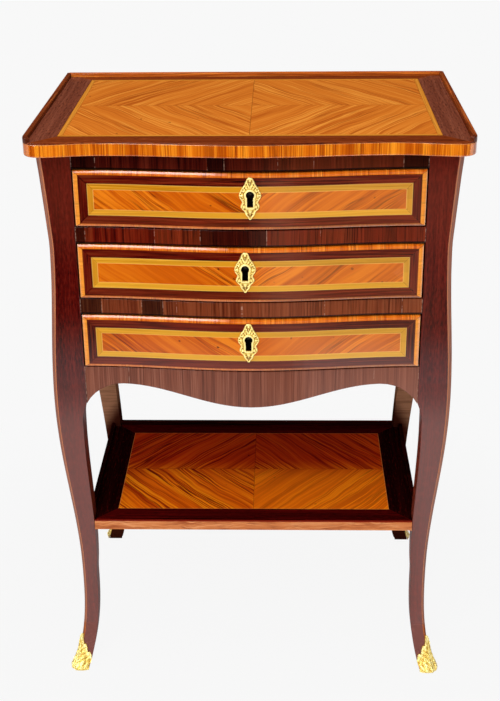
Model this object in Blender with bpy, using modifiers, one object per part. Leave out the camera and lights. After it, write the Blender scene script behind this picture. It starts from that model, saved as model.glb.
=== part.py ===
"""A small French side table: three serpentine drawers over a shelf, on four cabriole legs.

Units are metres, +Z is up and the front faces -Y. The origin is on the floor, under the middle of the top.
"""

import math

import bmesh
import bpy
from mathutils import Matrix

# Fits
GAP = 0.0003
DRAWER_GAP = 0.0020
DRAWER_SIDE_GAP = 0.0018
SABOT_FIT = 0.0005
BOLT_FIT = 0.0004

# Case and legs, measured at the waist of the legs
CASE_WIDTH = 0.470
CASE_DEPTH = 0.296
STILE_WIDTH = 0.032
STILE_DEPTH = 0.0375
CASE_FLOOR = 0.437
LEG_FLARE = 0.008
WAIST_ABOVE_FLOOR = 0.153
KNEE_BELOW_FLOOR = 0.040
KNEE_REACH = 0.0083
KNEE_SWELL = 0.001
ANKLE_HEIGHT = 0.130
ANKLE_DRAW = 0.0095
ANKLE_WIDTH = 0.0190
TOE_REACH = 0.005
BACK_KNEE_REACH = 0.003
BACK_ANKLE_DRAW = 0.0165
BACK_TOE_REACH = -0.0025
TOE_FORWARD = 0.022
CANT_TOP = 0.0065
CANT_FOOT = 0.003
FLARE_POWER = 1.1
SHIN_POWER = 0.95
TOE_POWER = 3

# Front frame, from the bottom up
LEVELS = ("lower", "middle", "upper")
RAILS = ("lower_drawer_rail", "upper_drawer_rail", "top_rail")
DRAWER_HEIGHT = 0.066
RAIL_HEIGHT = 0.019
TOP_RAIL_HEIGHT = 0.019
RAIL_DEPTH = 0.030
FRONT_BOW = 0.014
APRON_DROP = 0.048
ARCH_RISE = 0.0215
EAR_RADIUS = 0.0535
EAR_OVERRUN = 0.006

# Sides, back and runners
SIDE_RECESS = 0.003
SIDE_THICKNESS = 0.0125
SIDE_DROP = 0.046
SIDE_EAR_OVERRUN = 0.0105
BACK_RECESS = 0.006
BACK_THICKNESS = 0.010
BACK_DROP = 0.030
RUNNER_WIDTH = 0.016
RUNNER_HEIGHT = 0.012

# Top
TOP_THICKNESS = 0.016
TOP_SIDE_OVERHANG = 0.0105
TOP_END_OVERHANG = 0.028
TOP_DIP = 0.0115
TOP_DIP_X = 0.168
TOP_LOBE_X = 0.236
TOP_LOBE_SETBACK = 0.004
TOP_CORNER_RADIUS = 0.018
RIM_START_DEGREES = -45
TOP_EDGE_ROUND = 0.0015
VENEER = 0.0012
RIM_WIDTH = 0.0055
RIM_HEIGHT = 0.0055
RIM_ROUND = 0.0018
BANDING_SIDE = 0.0305
BANDING_FRONT = 0.0366
BANDING_BACK = 0.0185
STRINGING_WIDTH = 0.0055

# Shelf
SHELF_HEIGHT = 0.215
SHELF_THICKNESS = 0.013
SHELF_SIDE_INSET = 0.0215
SHELF_FRONT_INSET = 0.006
SHELF_BACK_INSET = 0.018
SHELF_RIM_WIDTH = 0.006
SHELF_RIM_HEIGHT = 0.006
SHELF_RIM_ROUND = 0.002
SHELF_LIP_DEPTH = 0.005
SHELF_BANDING_SIDE = 0.030
SHELF_BANDING_FRONT = 0.025
SHELF_BANDING_BACK = 0.025

# Drawers
DRAWER_PROUD = 0.0045
LIP_ROUND = 0.0042
FRONT_THICKNESS = 0.020
DRAWER_BACK_CLEARANCE = 0.0065
DRAWER_SIDE_THICKNESS = 0.009
DRAWER_SIDE_DROP = 0.007
DRAWER_BACK_THICKNESS = 0.009
DRAWER_BASE_THICKNESS = 0.006
DRAWER_BASE_RISE = 0.007
GROOVE_DEPTH = 0.004
TAIL_COUNT = 3
TAIL_LENGTH = 0.012
TAIL_HEIGHT = 0.009
TAIL_SPREAD = 0.0015
TAIL_MARGIN = 0.003

# Escutcheon, lock and bolt; each lock was fitted by hand, a little off the middle of its drawer
LOCK_SHIFTS = (-0.0024, -0.0055, 0.0010)
ESCUTCHEON_WIDTH = 0.0256
ESCUTCHEON_HEIGHT = 0.0492
ESCUTCHEON_RISE = 0.0053
ESCUTCHEON_THICKNESS = 0.0020
ESCUTCHEON_EDGE = 0.0007
BOSS_WIDTH = 0.0155
BOSS_HEIGHT = 0.0260
BOSS_THICKNESS = 0.0036
BOSS_DROP = 0.0047
KEYHOLE_RADIUS = 0.0048
KEYHOLE_RISE = 0.0040
KEYHOLE_SLOT = 0.0070
KEYHOLE_DROP = 0.0142
LOCK_WIDTH = 0.056
LOCK_DEPTH = 0.014
LOCK_WALL = 0.002
LOCK_BELOW_PIN = 0.018
PIN_RADIUS = 0.0016
PIN_SETBACK = 0.004
BOLT_WIDTH = 0.026
BOLT_THICKNESS = 0.005
BOLT_ABOVE_PIN = 0.008
BOLT_TRAVEL = 0.007
MORTISE_FIT = 0.0008

# Sabots
SABOT_HEIGHT = 0.042
SABOT_EDGE_HEIGHT = 0.012
SABOT_THICKNESS = 0.0015
SABOT_RELIEF = 0.0035
LEAF_POWER = 1.3
LEAF_LOBES = 3
LOBE_RISE = 0.004

# Facets
SHARP_ANGLE = math.radians(35)
FRONT_STEPS = 32
TOP_STEPS = 48
ARC_STEPS = 6
TOE_RINGS = 12
SHIN_RINGS = 9
EAR_RINGS = 10
STILE_RINGS = 10
SABOT_COLUMNS = 24
SABOT_ROWS = 8
BOSS_STEPS = 20
PIN_STEPS = 12
ROUND_STEPS = 2
LIP_STEPS = 3

# Sizes that follow from those above
HALF_WIDTH = CASE_WIDTH / 2
HALF_DEPTH = CASE_DEPTH / 2
OPENING_HALF = HALF_WIDTH - STILE_WIDTH
OPENING_HEIGHT = DRAWER_HEIGHT + 2 * DRAWER_GAP
DRAWER_PITCH = OPENING_HEIGHT + RAIL_HEIGHT
CASE_TOP = CASE_FLOOR + len(LEVELS) * DRAWER_PITCH - RAIL_HEIGHT + TOP_RAIL_HEIGHT
TOP_HEIGHT = CASE_TOP + TOP_THICKNESS
BOARD_TOP = TOP_HEIGHT - VENEER - GAP
TOP_HALF = HALF_WIDTH + LEG_FLARE + TOP_SIDE_OVERHANG
TOP_END = HALF_DEPTH + TOP_END_OVERHANG
RIM_INNER_X = TOP_HALF - RIM_WIDTH
RIM_INNER_Y = TOP_END - RIM_WIDTH
EAR_CENTRE = CASE_FLOOR - ARCH_RISE - EAR_RADIUS
WAIST_HEIGHT = CASE_FLOOR + WAIST_ABOVE_FLOOR
KNEE_HEIGHT = CASE_FLOOR - KNEE_BELOW_FLOOR
STILE_INNER_Y = HALF_DEPTH - STILE_DEPTH
APRON_ARCH_X = OPENING_HALF + EAR_OVERRUN - EAR_RADIUS
SIDE_ARCH_Y = STILE_INNER_Y + SIDE_EAR_OVERRUN - EAR_RADIUS
RAIL_BACK = -HALF_DEPTH + RAIL_DEPTH
BACK_OUTER = HALF_DEPTH - BACK_RECESS
BACK_INNER = BACK_OUTER - BACK_THICKNESS
FRAME_HALF = OPENING_HALF - GAP
SHELF_BOARD_TOP = SHELF_HEIGHT - VENEER - GAP
SHELF_BOTTOM = SHELF_HEIGHT - SHELF_THICKNESS
SHELF_HALF = HALF_WIDTH - SHELF_SIDE_INSET
SHELF_FRONT = -HALF_DEPTH + SHELF_FRONT_INSET
SHELF_BACK = HALF_DEPTH - SHELF_BACK_INSET

# A drawer's own sizes, counted from the middle of its face
FACE_Y = -HALF_DEPTH - DRAWER_PROUD - FRONT_BOW
DRAWER_HALF = OPENING_HALF - DRAWER_SIDE_GAP
HALF_HEIGHT = DRAWER_HEIGHT / 2
BACK_OF_FRONT = FRONT_BOW + FRONT_THICKNESS
DRAWER_END = BACK_INNER - DRAWER_BACK_CLEARANCE - FACE_Y
DRAWER_BACK_FACE = DRAWER_END - DRAWER_BACK_THICKNESS
SIDE_LOW = -HALF_HEIGHT - DRAWER_GAP + GAP
SIDE_HIGH = HALF_HEIGHT - DRAWER_SIDE_DROP
SIDE_INNER_X = DRAWER_HALF - DRAWER_SIDE_THICKNESS
GROOVE_X = SIDE_INNER_X + GROOVE_DEPTH
BASE_LOW = SIDE_LOW + DRAWER_BASE_RISE
BASE_HIGH = BASE_LOW + DRAWER_BASE_THICKNESS
PIN_HEIGHT = ESCUTCHEON_RISE + KEYHOLE_RISE
LOCK_HALF = LOCK_WIDTH / 2
LOCK_FRONT = BACK_OF_FRONT - LOCK_DEPTH
LOCK_LOW = PIN_HEIGHT - LOCK_BELOW_PIN
LOCK_HIGH = HALF_HEIGHT - GAP
BOLT_HALF = BOLT_WIDTH / 2
BOLT_REAR = BACK_OF_FRONT - LOCK_WALL - BOLT_FIT
BOLT_FACE = BOLT_REAR - BOLT_THICKNESS

# Colours as linear RGB, with roughness and metallic value
FINISHES = {
    "tulipwood": ((0.62, 0.24, 0.05), 0.30, 0.0),
    "amaranth": ((0.10, 0.025, 0.018), 0.30, 0.0),
    "boxwood": ((0.68, 0.40, 0.07), 0.30, 0.0),
    "oak": ((0.36, 0.22, 0.11), 0.60, 0.0),
    "gilt_bronze": ((0.83, 0.60, 0.16), 0.30, 1.0),
    "lock_iron": ((0.20, 0.19, 0.18), 0.45, 1.0),
}


def clear_scene():
    for obj in list(bpy.data.objects):
        bpy.data.objects.remove(obj, do_unlink=True)


def new_collection(name, hidden=False):
    collection = bpy.data.collections.new(name)
    bpy.context.scene.collection.children.link(collection)
    collection.hide_render = hidden
    return collection


def make_material(name):
    colour, roughness, metallic = FINISHES[name]
    material = bpy.data.materials.new(name)
    material.use_nodes = True
    shader = material.node_tree.nodes["Principled BSDF"]
    shader.inputs["Base Color"].default_value = (*colour, 1.0)
    shader.inputs["Roughness"].default_value = roughness
    shader.inputs["Metallic"].default_value = metallic
    return material


clear_scene()
PARTS = new_collection("side_table")
CUTTERS = new_collection("cutters", hidden=True)
MATERIALS = {name: make_material(name) for name in FINISHES}


def add_part(name, mesh, finish, parent=None):
    """A visible piece; a child's mesh is in its parent's coordinates."""
    part = bpy.data.objects.new(name, mesh)
    PARTS.objects.link(part)
    mesh.materials.clear()
    mesh.materials.append(MATERIALS[finish])
    mesh.shade_smooth()
    mesh.set_sharp_from_angle(angle=SHARP_ANGLE)
    part.parent = parent
    return part


def add_cutter(name, mesh, parent=None):
    cutter = bpy.data.objects.new(name, mesh)
    CUTTERS.objects.link(cutter)
    cutter.hide_render = True
    cutter.display_type = "WIRE"
    cutter.parent = parent
    return cutter


def boolean(part, other, operation="DIFFERENCE"):
    modifier = part.modifiers.new(operation.lower(), "BOOLEAN")
    modifier.operation = operation
    modifier.solver = "EXACT"
    modifier.object = other


def round_edges(part, width, segments, chosen):
    """Rounds the mesh's own edges for which chosen(start, end) is true."""
    mesh = part.data
    weights = mesh.attributes.new("bevel_weight_edge", "FLOAT", "EDGE")
    for edge in mesh.edges:
        start, end = (mesh.vertices[i].co for i in edge.vertices)
        weights.data[edge.index].value = 1.0 if chosen(start, end) else 0.0
    modifier = part.modifiers.new("round", "BEVEL")
    modifier.limit_method = "WEIGHT"
    modifier.width = width
    modifier.segments = segments


def mesh_from(name, work):
    mesh = bpy.data.meshes.new(name)
    bmesh.ops.recalc_face_normals(work, faces=work.faces)
    work.to_mesh(mesh)
    work.free()
    return mesh


def box(name, low, high):
    """A cube stretched between two opposite corners."""
    work = bmesh.new()
    size = [b - a for a, b in zip(low, high)]
    middle = [(a + b) / 2 for a, b in zip(low, high)]
    place = Matrix.Translation(middle) @ Matrix.Diagonal((*size, 1.0))
    bmesh.ops.create_cube(work, size=1.0, matrix=place)
    return mesh_from(name, work)


# A plate's outline lies in one plane, and its thickness runs along the axis named here
PLATE_AXES = {
    "Z": Matrix.Identity(4),
    "Y": Matrix(((1, 0, 0, 0), (0, 0, -1, 0), (0, 1, 0, 0), (0, 0, 0, 1))),
    "X": Matrix(((0, 0, 1, 0), (1, 0, 0, 0), (0, 1, 0, 0), (0, 0, 0, 1))),
}


def plate(name, outlines, axis, low, high, edge=0.0):
    """Closed outlines filled and extruded along an axis; inner outlines are holes, edge rounds the rim."""
    curve = bpy.data.curves.new(name, "CURVE")
    curve.dimensions = "2D"
    curve.fill_mode = "BOTH"
    curve.extrude = (high - low) / 2 - edge
    curve.bevel_depth = edge
    curve.bevel_resolution = 0
    curve.offset = -edge
    for outline in outlines:
        spline = curve.splines.new("POLY")
        spline.points.add(len(outline) - 1)
        for point, (u, v) in zip(spline.points, outline):
            point.co = (u, v, 0.0, 1.0)
        spline.use_cyclic_u = True
    holder = bpy.data.objects.new(name, curve)
    CUTTERS.objects.link(holder)
    graph = bpy.context.evaluated_depsgraph_get()
    filled = bpy.data.meshes.new_from_object(holder.evaluated_get(graph))
    bpy.data.objects.remove(holder, do_unlink=True)
    bpy.data.curves.remove(curve)
    work = bmesh.new()
    work.from_mesh(filled)
    bpy.data.meshes.remove(filled)
    bmesh.ops.remove_doubles(work, verts=work.verts, dist=1e-6)
    if len(outlines) == 1:
        flat = [e for e in work.edges if all(abs(f.normal.z) > 0.999 for f in e.link_faces)]
        bmesh.ops.dissolve_edges(work, edges=flat, use_verts=False)
    middle = (low + high) / 2
    shift = {"Z": (0, 0, middle), "Y": (0, middle, 0), "X": (middle, 0, 0)}[axis]
    bmesh.ops.transform(work, matrix=Matrix.Translation(shift) @ PLATE_AXES[axis], verts=work.verts)
    return mesh_from(name, work)


def ease(start, end, share):
    """A smooth swing from start to end, level at both."""
    share = min(max(share, 0.0), 1.0)
    return start + (end - start) * (1 - math.cos(math.pi * share)) / 2


def spread(start, end, steps):
    return [start + (end - start) * i / steps for i in range(steps + 1)]


def arc(centre, radius, start_degrees, end_degrees, steps=ARC_STEPS):
    angles = [math.radians(a) for a in spread(start_degrees, end_degrees, steps)]
    return [(centre[0] + radius * math.cos(a), centre[1] + radius * math.sin(a)) for a in angles]


def rectangle(left, front, right, back):
    return [(left, front), (right, front), (right, back), (left, back)]


def mirrored(points):
    return [(-x, y) for x, y in reversed(points)]


# Plan curves of the front


def front_bow(x):
    """How far the serpentine front stands forward of its ends."""
    return ease(FRONT_BOW, 0.0, abs(x) / OPENING_HALF)


def front_outline(half, front, back):
    """Plan of a rail or drawer front: serpentine in front, flat behind."""
    face = [(x, front - front_bow(x)) for x in spread(-half, half, FRONT_STEPS)]
    return face + [(half, back), (-half, back)]


def top_front(x):
    """Front edge of the top: forward at the middle, back at the dips, forward again at the corner lobes."""
    away = abs(x)
    if away < TOP_DIP_X:
        return -TOP_END + ease(0.0, TOP_DIP, away / TOP_DIP_X)
    return -TOP_END + ease(TOP_DIP, TOP_LOBE_SETBACK, (away - TOP_DIP_X) / (TOP_LOBE_X - TOP_DIP_X))


def corner_arc(inset, start_degrees, end_degrees):
    """Part of the round front right corner of the top, drawn in by an inset."""
    x = TOP_HALF - TOP_CORNER_RADIUS
    centre = (x, top_front(x) + TOP_CORNER_RADIUS)
    return arc(centre, TOP_CORNER_RADIUS - inset, start_degrees, end_degrees)


def with_top_front(right):
    """Closes a plan of the top: its front edge, the given right side, and the left side that mirrors it."""
    turn = TOP_HALF - TOP_CORNER_RADIUS
    front = [(x, top_front(x)) for x in spread(-turn, turn, TOP_STEPS)]
    return front + right + mirrored(right)


def board_outline():
    return with_top_front(corner_arc(0.0, -90, 0)[1:] + [(TOP_HALF, TOP_END)])


def banding_outline():
    """Plan of the dark border: the front edge of the top, then the inside of the rim."""
    inset = RIM_WIDTH + GAP
    turn = RIM_START_DEGREES - math.degrees(GAP / (TOP_CORNER_RADIUS - inset))
    corner = corner_arc(0.0, -90, turn)[1:] + corner_arc(inset, turn, 0)
    return with_top_front(corner + [(RIM_INNER_X - GAP, RIM_INNER_Y - GAP)])


def rim_outline():
    """Plan of the right rim: round the front corner, along the side, mitred at the back."""
    mitre = [(TOP_HALF, TOP_END - GAP), (RIM_INNER_X, RIM_INNER_Y - GAP)]
    return corner_arc(0.0, RIM_START_DEGREES, 0) + mitre + corner_arc(RIM_WIDTH, 0, RIM_START_DEGREES)


# Legs


# Sideways reach of the outer face at the knee, the ankle and the toe, of the front (-1) and back (1) legs
LEG_REACHES = {
    -1: (KNEE_REACH, -ANKLE_DRAW, TOE_REACH),
    1: (BACK_KNEE_REACH, -BACK_ANKLE_DRAW, BACK_TOE_REACH),
}


def leg_reach(z, end):
    """Sideways offset of a leg's outer face from the waist."""
    knee, ankle, toe = LEG_REACHES[end]
    if z >= WAIST_HEIGHT:
        return LEG_FLARE * ((z - WAIST_HEIGHT) / (CASE_TOP - WAIST_HEIGHT)) ** FLARE_POWER
    if z >= KNEE_HEIGHT:
        return ease(0.0, knee, (WAIST_HEIGHT - z) / (WAIST_HEIGHT - KNEE_HEIGHT))
    if z >= ANKLE_HEIGHT:
        return ease(knee, ankle, (KNEE_HEIGHT - z) / (KNEE_HEIGHT - ANKLE_HEIGHT))
    return ankle + (toe - ankle) * (1 - z / ANKLE_HEIGHT) ** TOE_POWER


def leg_swell(z):
    """Forward offset of a leg's end face from the plane of the rails."""
    if z >= EAR_CENTRE:
        return ease(0.0, KNEE_SWELL, (CASE_FLOOR - z) / (CASE_FLOOR - EAR_CENTRE))
    if z >= ANKLE_HEIGHT:
        return ease(KNEE_SWELL, -ANKLE_DRAW, (EAR_CENTRE - z) / (EAR_CENTRE - ANKLE_HEIGHT))
    return -ANKLE_DRAW + (TOE_FORWARD + ANKLE_DRAW) * (1 - z / ANKLE_HEIGHT) ** TOE_POWER


def inner_face(z, stile, arch, outer, knee):
    """Inner face of a leg: flush with the stile, hollowed by the ear's arc, then tapered."""
    if z >= EAR_CENTRE:
        rise = min(z - EAR_CENTRE, EAR_RADIUS)
        return max(stile, arch + math.sqrt(EAR_RADIUS**2 - rise**2))
    share = max(z - ANKLE_HEIGHT, 0.0) / (EAR_CENTRE - ANKLE_HEIGHT)
    knee_width = knee - arch - EAR_RADIUS
    return outer - ANKLE_WIDTH - (knee_width - ANKLE_WIDTH) * share**SHIN_POWER


def leg_section(z, end):
    """Inner x, outer x, inner y and outer y of a right leg at a height, with y counted outwards."""
    outer_x = HALF_WIDTH + leg_reach(z, end)
    outer_y = HALF_DEPTH + leg_swell(z)
    knee_x = HALF_WIDTH + leg_reach(EAR_CENTRE, end)
    knee_y = HALF_DEPTH + leg_swell(EAR_CENTRE)
    inner_x = inner_face(z, OPENING_HALF, APRON_ARCH_X, outer_x, knee_x)
    inner_y = inner_face(z, STILE_INNER_Y, SIDE_ARCH_Y, outer_y, knee_y)
    return inner_x, outer_x, inner_y, outer_y


def leg_cant(z):
    return CANT_FOOT + (CANT_TOP - CANT_FOOT) * z / CASE_TOP


def leg_heights():
    toe = spread(0.0, ANKLE_HEIGHT, TOE_RINGS)
    shin = spread(ANKLE_HEIGHT, EAR_CENTRE, SHIN_RINGS)[1:]
    ear = spread(EAR_CENTRE, EAR_CENTRE + EAR_RADIUS, EAR_RINGS)[1:]
    stile = spread(EAR_CENTRE + EAR_RADIUS, CASE_TOP - GAP, STILE_RINGS)[1:]
    return toe + shin + ear + stile


def loft(name, rings):
    """Skins closed rings of equal length, one above the other, and caps both ends."""
    work = bmesh.new()
    rows = [[work.verts.new(point) for point in ring] for ring in rings]
    count = len(rows[0])
    for lower, upper in zip(rows, rows[1:]):
        for i in range(count):
            j = (i + 1) % count
            work.faces.new((lower[i], lower[j], upper[j], upper[i]))
    work.faces.new(rows[0])
    work.faces.new(rows[-1])
    return mesh_from(name, work)


def make_leg(name, side, end):
    rings = []
    for z in leg_heights():
        inner_x, outer_x, inner_y, outer_y = leg_section(z, end)
        cant = leg_cant(z)
        plan = [
            (inner_x, inner_y),
            (outer_x, inner_y),
            (outer_x, outer_y - cant),
            (outer_x - cant, outer_y),
            (inner_x, outer_y),
        ]
        rings.append([(side * x, end * y, z) for x, y in plan])
    add_part(name, loft(name, rings), "amaranth")


def sabot_point(across, z, stand_off, end):
    """A point standing off the foot: across runs -1 to 1 from the front face round the corner to the side."""
    inner_x, outer_x, inner_y, outer_y = leg_section(z, end)
    cant = leg_cant(z)
    tuck = stand_off * math.tan(math.pi / 8)
    path = [
        (inner_x, outer_y + stand_off),
        (outer_x - cant + tuck, outer_y + stand_off),
        (outer_x + stand_off, outer_y - cant + tuck),
        (outer_x + stand_off, inner_y),
    ]
    knots = (-1.0, -0.25, 0.25, 1.0)
    piece = 0 if across < knots[1] else 1 if across < knots[2] else 2
    share = (across - knots[piece]) / (knots[piece + 1] - knots[piece])
    (ax, ay), (bx, by) = path[piece], path[piece + 1]
    return ax + (bx - ax) * share, ay + (by - ay) * share, z


def edge_loop(columns):
    """The points round the edge of a grid, in order."""
    tops = [column[-1] for column in columns[-2::-1]]
    return [column[0] for column in columns] + columns[-1][1:] + tops + columns[0][-2:0:-1]


def make_sabot(name, side, end):
    """A cast shoe wrapping the two outer faces of the foot, with a leaf that climbs the corner."""
    work = bmesh.new()
    inner, outer = [], []
    for across in spread(-1.0, 1.0, SABOT_COLUMNS):
        nearness = 1 - abs(across)
        height = SABOT_EDGE_HEIGHT + (SABOT_HEIGHT - SABOT_EDGE_HEIGHT) * nearness**LEAF_POWER
        height += LOBE_RISE * abs(math.sin(math.pi * LEAF_LOBES * nearness))
        for layer, grid in ((0, inner), (1, outer)):
            column = []
            for up in spread(0.0, 1.0, SABOT_ROWS):
                swell = SABOT_THICKNESS + SABOT_RELIEF * nearness * (1 - up) ** LEAF_POWER
                x, y, z = sabot_point(across, up * height, SABOT_FIT + layer * swell, end)
                column.append(work.verts.new((side * x, end * y, z)))
            grid.append(column)
    for grid in (inner, outer):
        for left, right in zip(grid, grid[1:]):
            for i in range(SABOT_ROWS):
                work.faces.new((left[i], right[i], right[i + 1], left[i + 1]))
    inside, outside = edge_loop(inner), edge_loop(outer)
    for i in range(len(inside)):
        j = (i + 1) % len(inside)
        work.faces.new((inside[i], inside[j], outside[j], outside[i]))
    add_part(name, mesh_from(name, work), "gilt_bronze")


def make_legs():
    for end_name, end in (("front", -1), ("back", 1)):
        for side_name, side in (("left", -1), ("right", 1)):
            make_leg(f"leg_{end_name}_{side_name}", side, end)
            make_sabot(f"sabot_{end_name}_{side_name}", side, end)


# Case


def arch_outline(half, arch, middle_drop, top):
    """Elevation of a board whose lower edge dips between two arches, which end in rounded ears."""
    across = spread(-arch, arch, FRONT_STEPS)
    dip = [(x, CASE_FLOOR - ease(middle_drop, ARCH_RISE, abs(x) / arch)) for x in across]
    tip = math.degrees(math.acos((half - arch) / EAR_RADIUS))
    ear = arc((arch, EAR_CENTRE), EAR_RADIUS, 90, tip)[1:]
    return mirrored(ear) + dip + ear + [(half, top), (-half, top)]


def opening_floor(number):
    return CASE_FLOOR + number * DRAWER_PITCH


def make_rail(name, low, high, shift):
    """A rail over a drawer, with a mortise that takes the bolt of the drawer's lock."""
    outline = front_outline(FRAME_HALF, -HALF_DEPTH, RAIL_BACK)
    rail = add_part(name, plate(name, [outline], "Z", low, high), "amaranth")
    half = BOLT_HALF + MORTISE_FIT
    front = FACE_Y + BOLT_FACE - MORTISE_FIT
    back = FACE_Y + BOLT_REAR + MORTISE_FIT
    slot = box(f"{name}_mortise", (shift - half, front, low - GAP), (shift + half, back, low + BOLT_TRAVEL))
    boolean(rail, add_cutter(f"{name}_mortise", slot))


def make_front_frame():
    for number, name in enumerate(RAILS):
        low = opening_floor(number) + OPENING_HEIGHT
        high = low + RAIL_HEIGHT if name != RAILS[-1] else CASE_TOP - GAP
        make_rail(name, low, high, LOCK_SHIFTS[number])
    plan = front_outline(FRAME_HALF, -HALF_DEPTH, RAIL_BACK)
    board = plate("front_apron", [plan], "Z", EAR_CENTRE, CASE_FLOOR)
    apron = add_part("front_apron", board, "amaranth")
    shape = arch_outline(OPENING_HALF, APRON_ARCH_X, APRON_DROP, CASE_FLOOR + GAP)
    cutter = plate("apron_shape", [shape], "Y", -HALF_DEPTH - 2 * FRONT_BOW, 0.0)
    boolean(apron, add_cutter("apron_shape", cutter), "INTERSECT")


def side_profile(end, inner):
    """Section of a side panel where it meets a leg: flat inside, swept outside to follow the leg."""
    heights = spread(EAR_CENTRE, CASE_TOP - GAP, STILE_RINGS * 2)
    swept = [(HALF_WIDTH - SIDE_RECESS + leg_reach(z, end), z) for z in heights]
    return swept + [(inner, heights[-1]), (inner, heights[0])]


def make_sides():
    """Side panels, skinned from the front legs to the back legs, with an arched lower edge."""
    inner = HALF_WIDTH - SIDE_RECESS - SIDE_THICKNESS
    half = STILE_INNER_Y - GAP
    shape = arch_outline(half + GAP, SIDE_ARCH_Y, SIDE_DROP, CASE_TOP + GAP)
    for name, side in (("left", -1), ("right", 1)):
        rings = [[(side * x, end * half, z) for x, z in side_profile(end, inner)] for end in (-1, 1)]
        panel = add_part(f"side_panel_{name}", loft(f"side_panel_{name}", rings), "amaranth")
        reach = sorted((side * inner / 2, side * TOP_HALF))
        cutter = plate(f"side_shape_{name}", [shape], "X", *reach)
        boolean(panel, add_cutter(f"side_shape_{name}", cutter), "INTERSECT")


def make_back():
    low = (-FRAME_HALF, BACK_INNER, CASE_FLOOR - BACK_DROP)
    high = (FRAME_HALF, BACK_OUTER, CASE_TOP - GAP)
    add_part("back_panel", box("back_panel", low, high), "oak")


def make_runners():
    for number, level in enumerate(LEVELS):
        top = opening_floor(number)
        for name, side in (("left", -1), ("right", 1)):
            across = sorted((side * FRAME_HALF, side * (FRAME_HALF - RUNNER_WIDTH)))
            low = (across[0], RAIL_BACK + GAP, top - RUNNER_HEIGHT)
            high = (across[1], BACK_INNER - GAP, top)
            runner = f"runner_{level}_{name}"
            add_part(runner, box(runner, low, high), "oak")


# Top


def make_top():
    board = plate("top_board", [board_outline()], "Z", CASE_TOP, BOARD_TOP)
    board = add_part("top_board", board, "tulipwood")
    round_edges(board, TOP_EDGE_ROUND, ROUND_STEPS, lambda a, b: max(a.z, b.z) < CASE_TOP + GAP)

    veneer_low, veneer_high = BOARD_TOP + GAP, TOP_HEIGHT
    inlay_x = RIM_INNER_X - BANDING_SIDE
    inlay_front = -TOP_END + BANDING_FRONT
    inlay_back = RIM_INNER_Y - BANDING_BACK
    inlay = rectangle(-inlay_x, inlay_front, inlay_x, inlay_back)
    banding = plate("top_banding", [banding_outline(), inlay], "Z", veneer_low, veneer_high)
    add_part("top_banding", banding, "amaranth")
    make_inlay("top", inlay_x, inlay_front, inlay_back, veneer_low, veneer_high)

    rim_low, rim_high = veneer_low, TOP_HEIGHT + RIM_HEIGHT
    for name, side in (("left", -1), ("right", 1)):
        plan = rim_outline() if side > 0 else mirrored(rim_outline())
        add_rim(f"top_rim_{name}", plan, rim_low, rim_high)
    back_plan = [
        (-TOP_HALF + GAP, TOP_END),
        (-RIM_INNER_X + GAP, RIM_INNER_Y),
        (RIM_INNER_X - GAP, RIM_INNER_Y),
        (TOP_HALF - GAP, TOP_END),
    ]
    add_rim("top_rim_back", back_plan, rim_low, rim_high)


def add_rim(name, plan, low, high):
    rim = add_part(name, plate(name, [plan], "Z", low, high), "amaranth")
    round_edges(rim, RIM_ROUND, ROUND_STEPS, lambda a, b: min(a.z, b.z) > high - GAP)


def make_inlay(name, half, front, back, low, high, stringing=STRINGING_WIDTH):
    """The pale stringing, where there is one, and the field of tulipwood inside it."""
    if stringing:
        outer = rectangle(-half + GAP, front + GAP, half - GAP, back - GAP)
        inner = rectangle(-half + stringing, front + stringing, half - stringing, back - stringing)
        line = plate(f"{name}_stringing", [outer, inner], "Z", low, high)
        add_part(f"{name}_stringing", line, "boxwood")
    inset = stringing + GAP
    field = box(f"{name}_field", (-half + inset, front + inset, low), (half - inset, back - inset, high))
    add_part(f"{name}_field", field, "tulipwood")


# Shelf


def shelf_corner(end):
    """Half width and half depth left clear by the legs through the thickness of the shelf."""
    heights = spread(SHELF_BOTTOM, SHELF_HEIGHT + SHELF_RIM_HEIGHT, SHIN_RINGS)
    sections = [leg_section(z, end) for z in heights]
    return min(s[0] for s in sections) - GAP, min(s[2] for s in sections) - GAP


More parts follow.
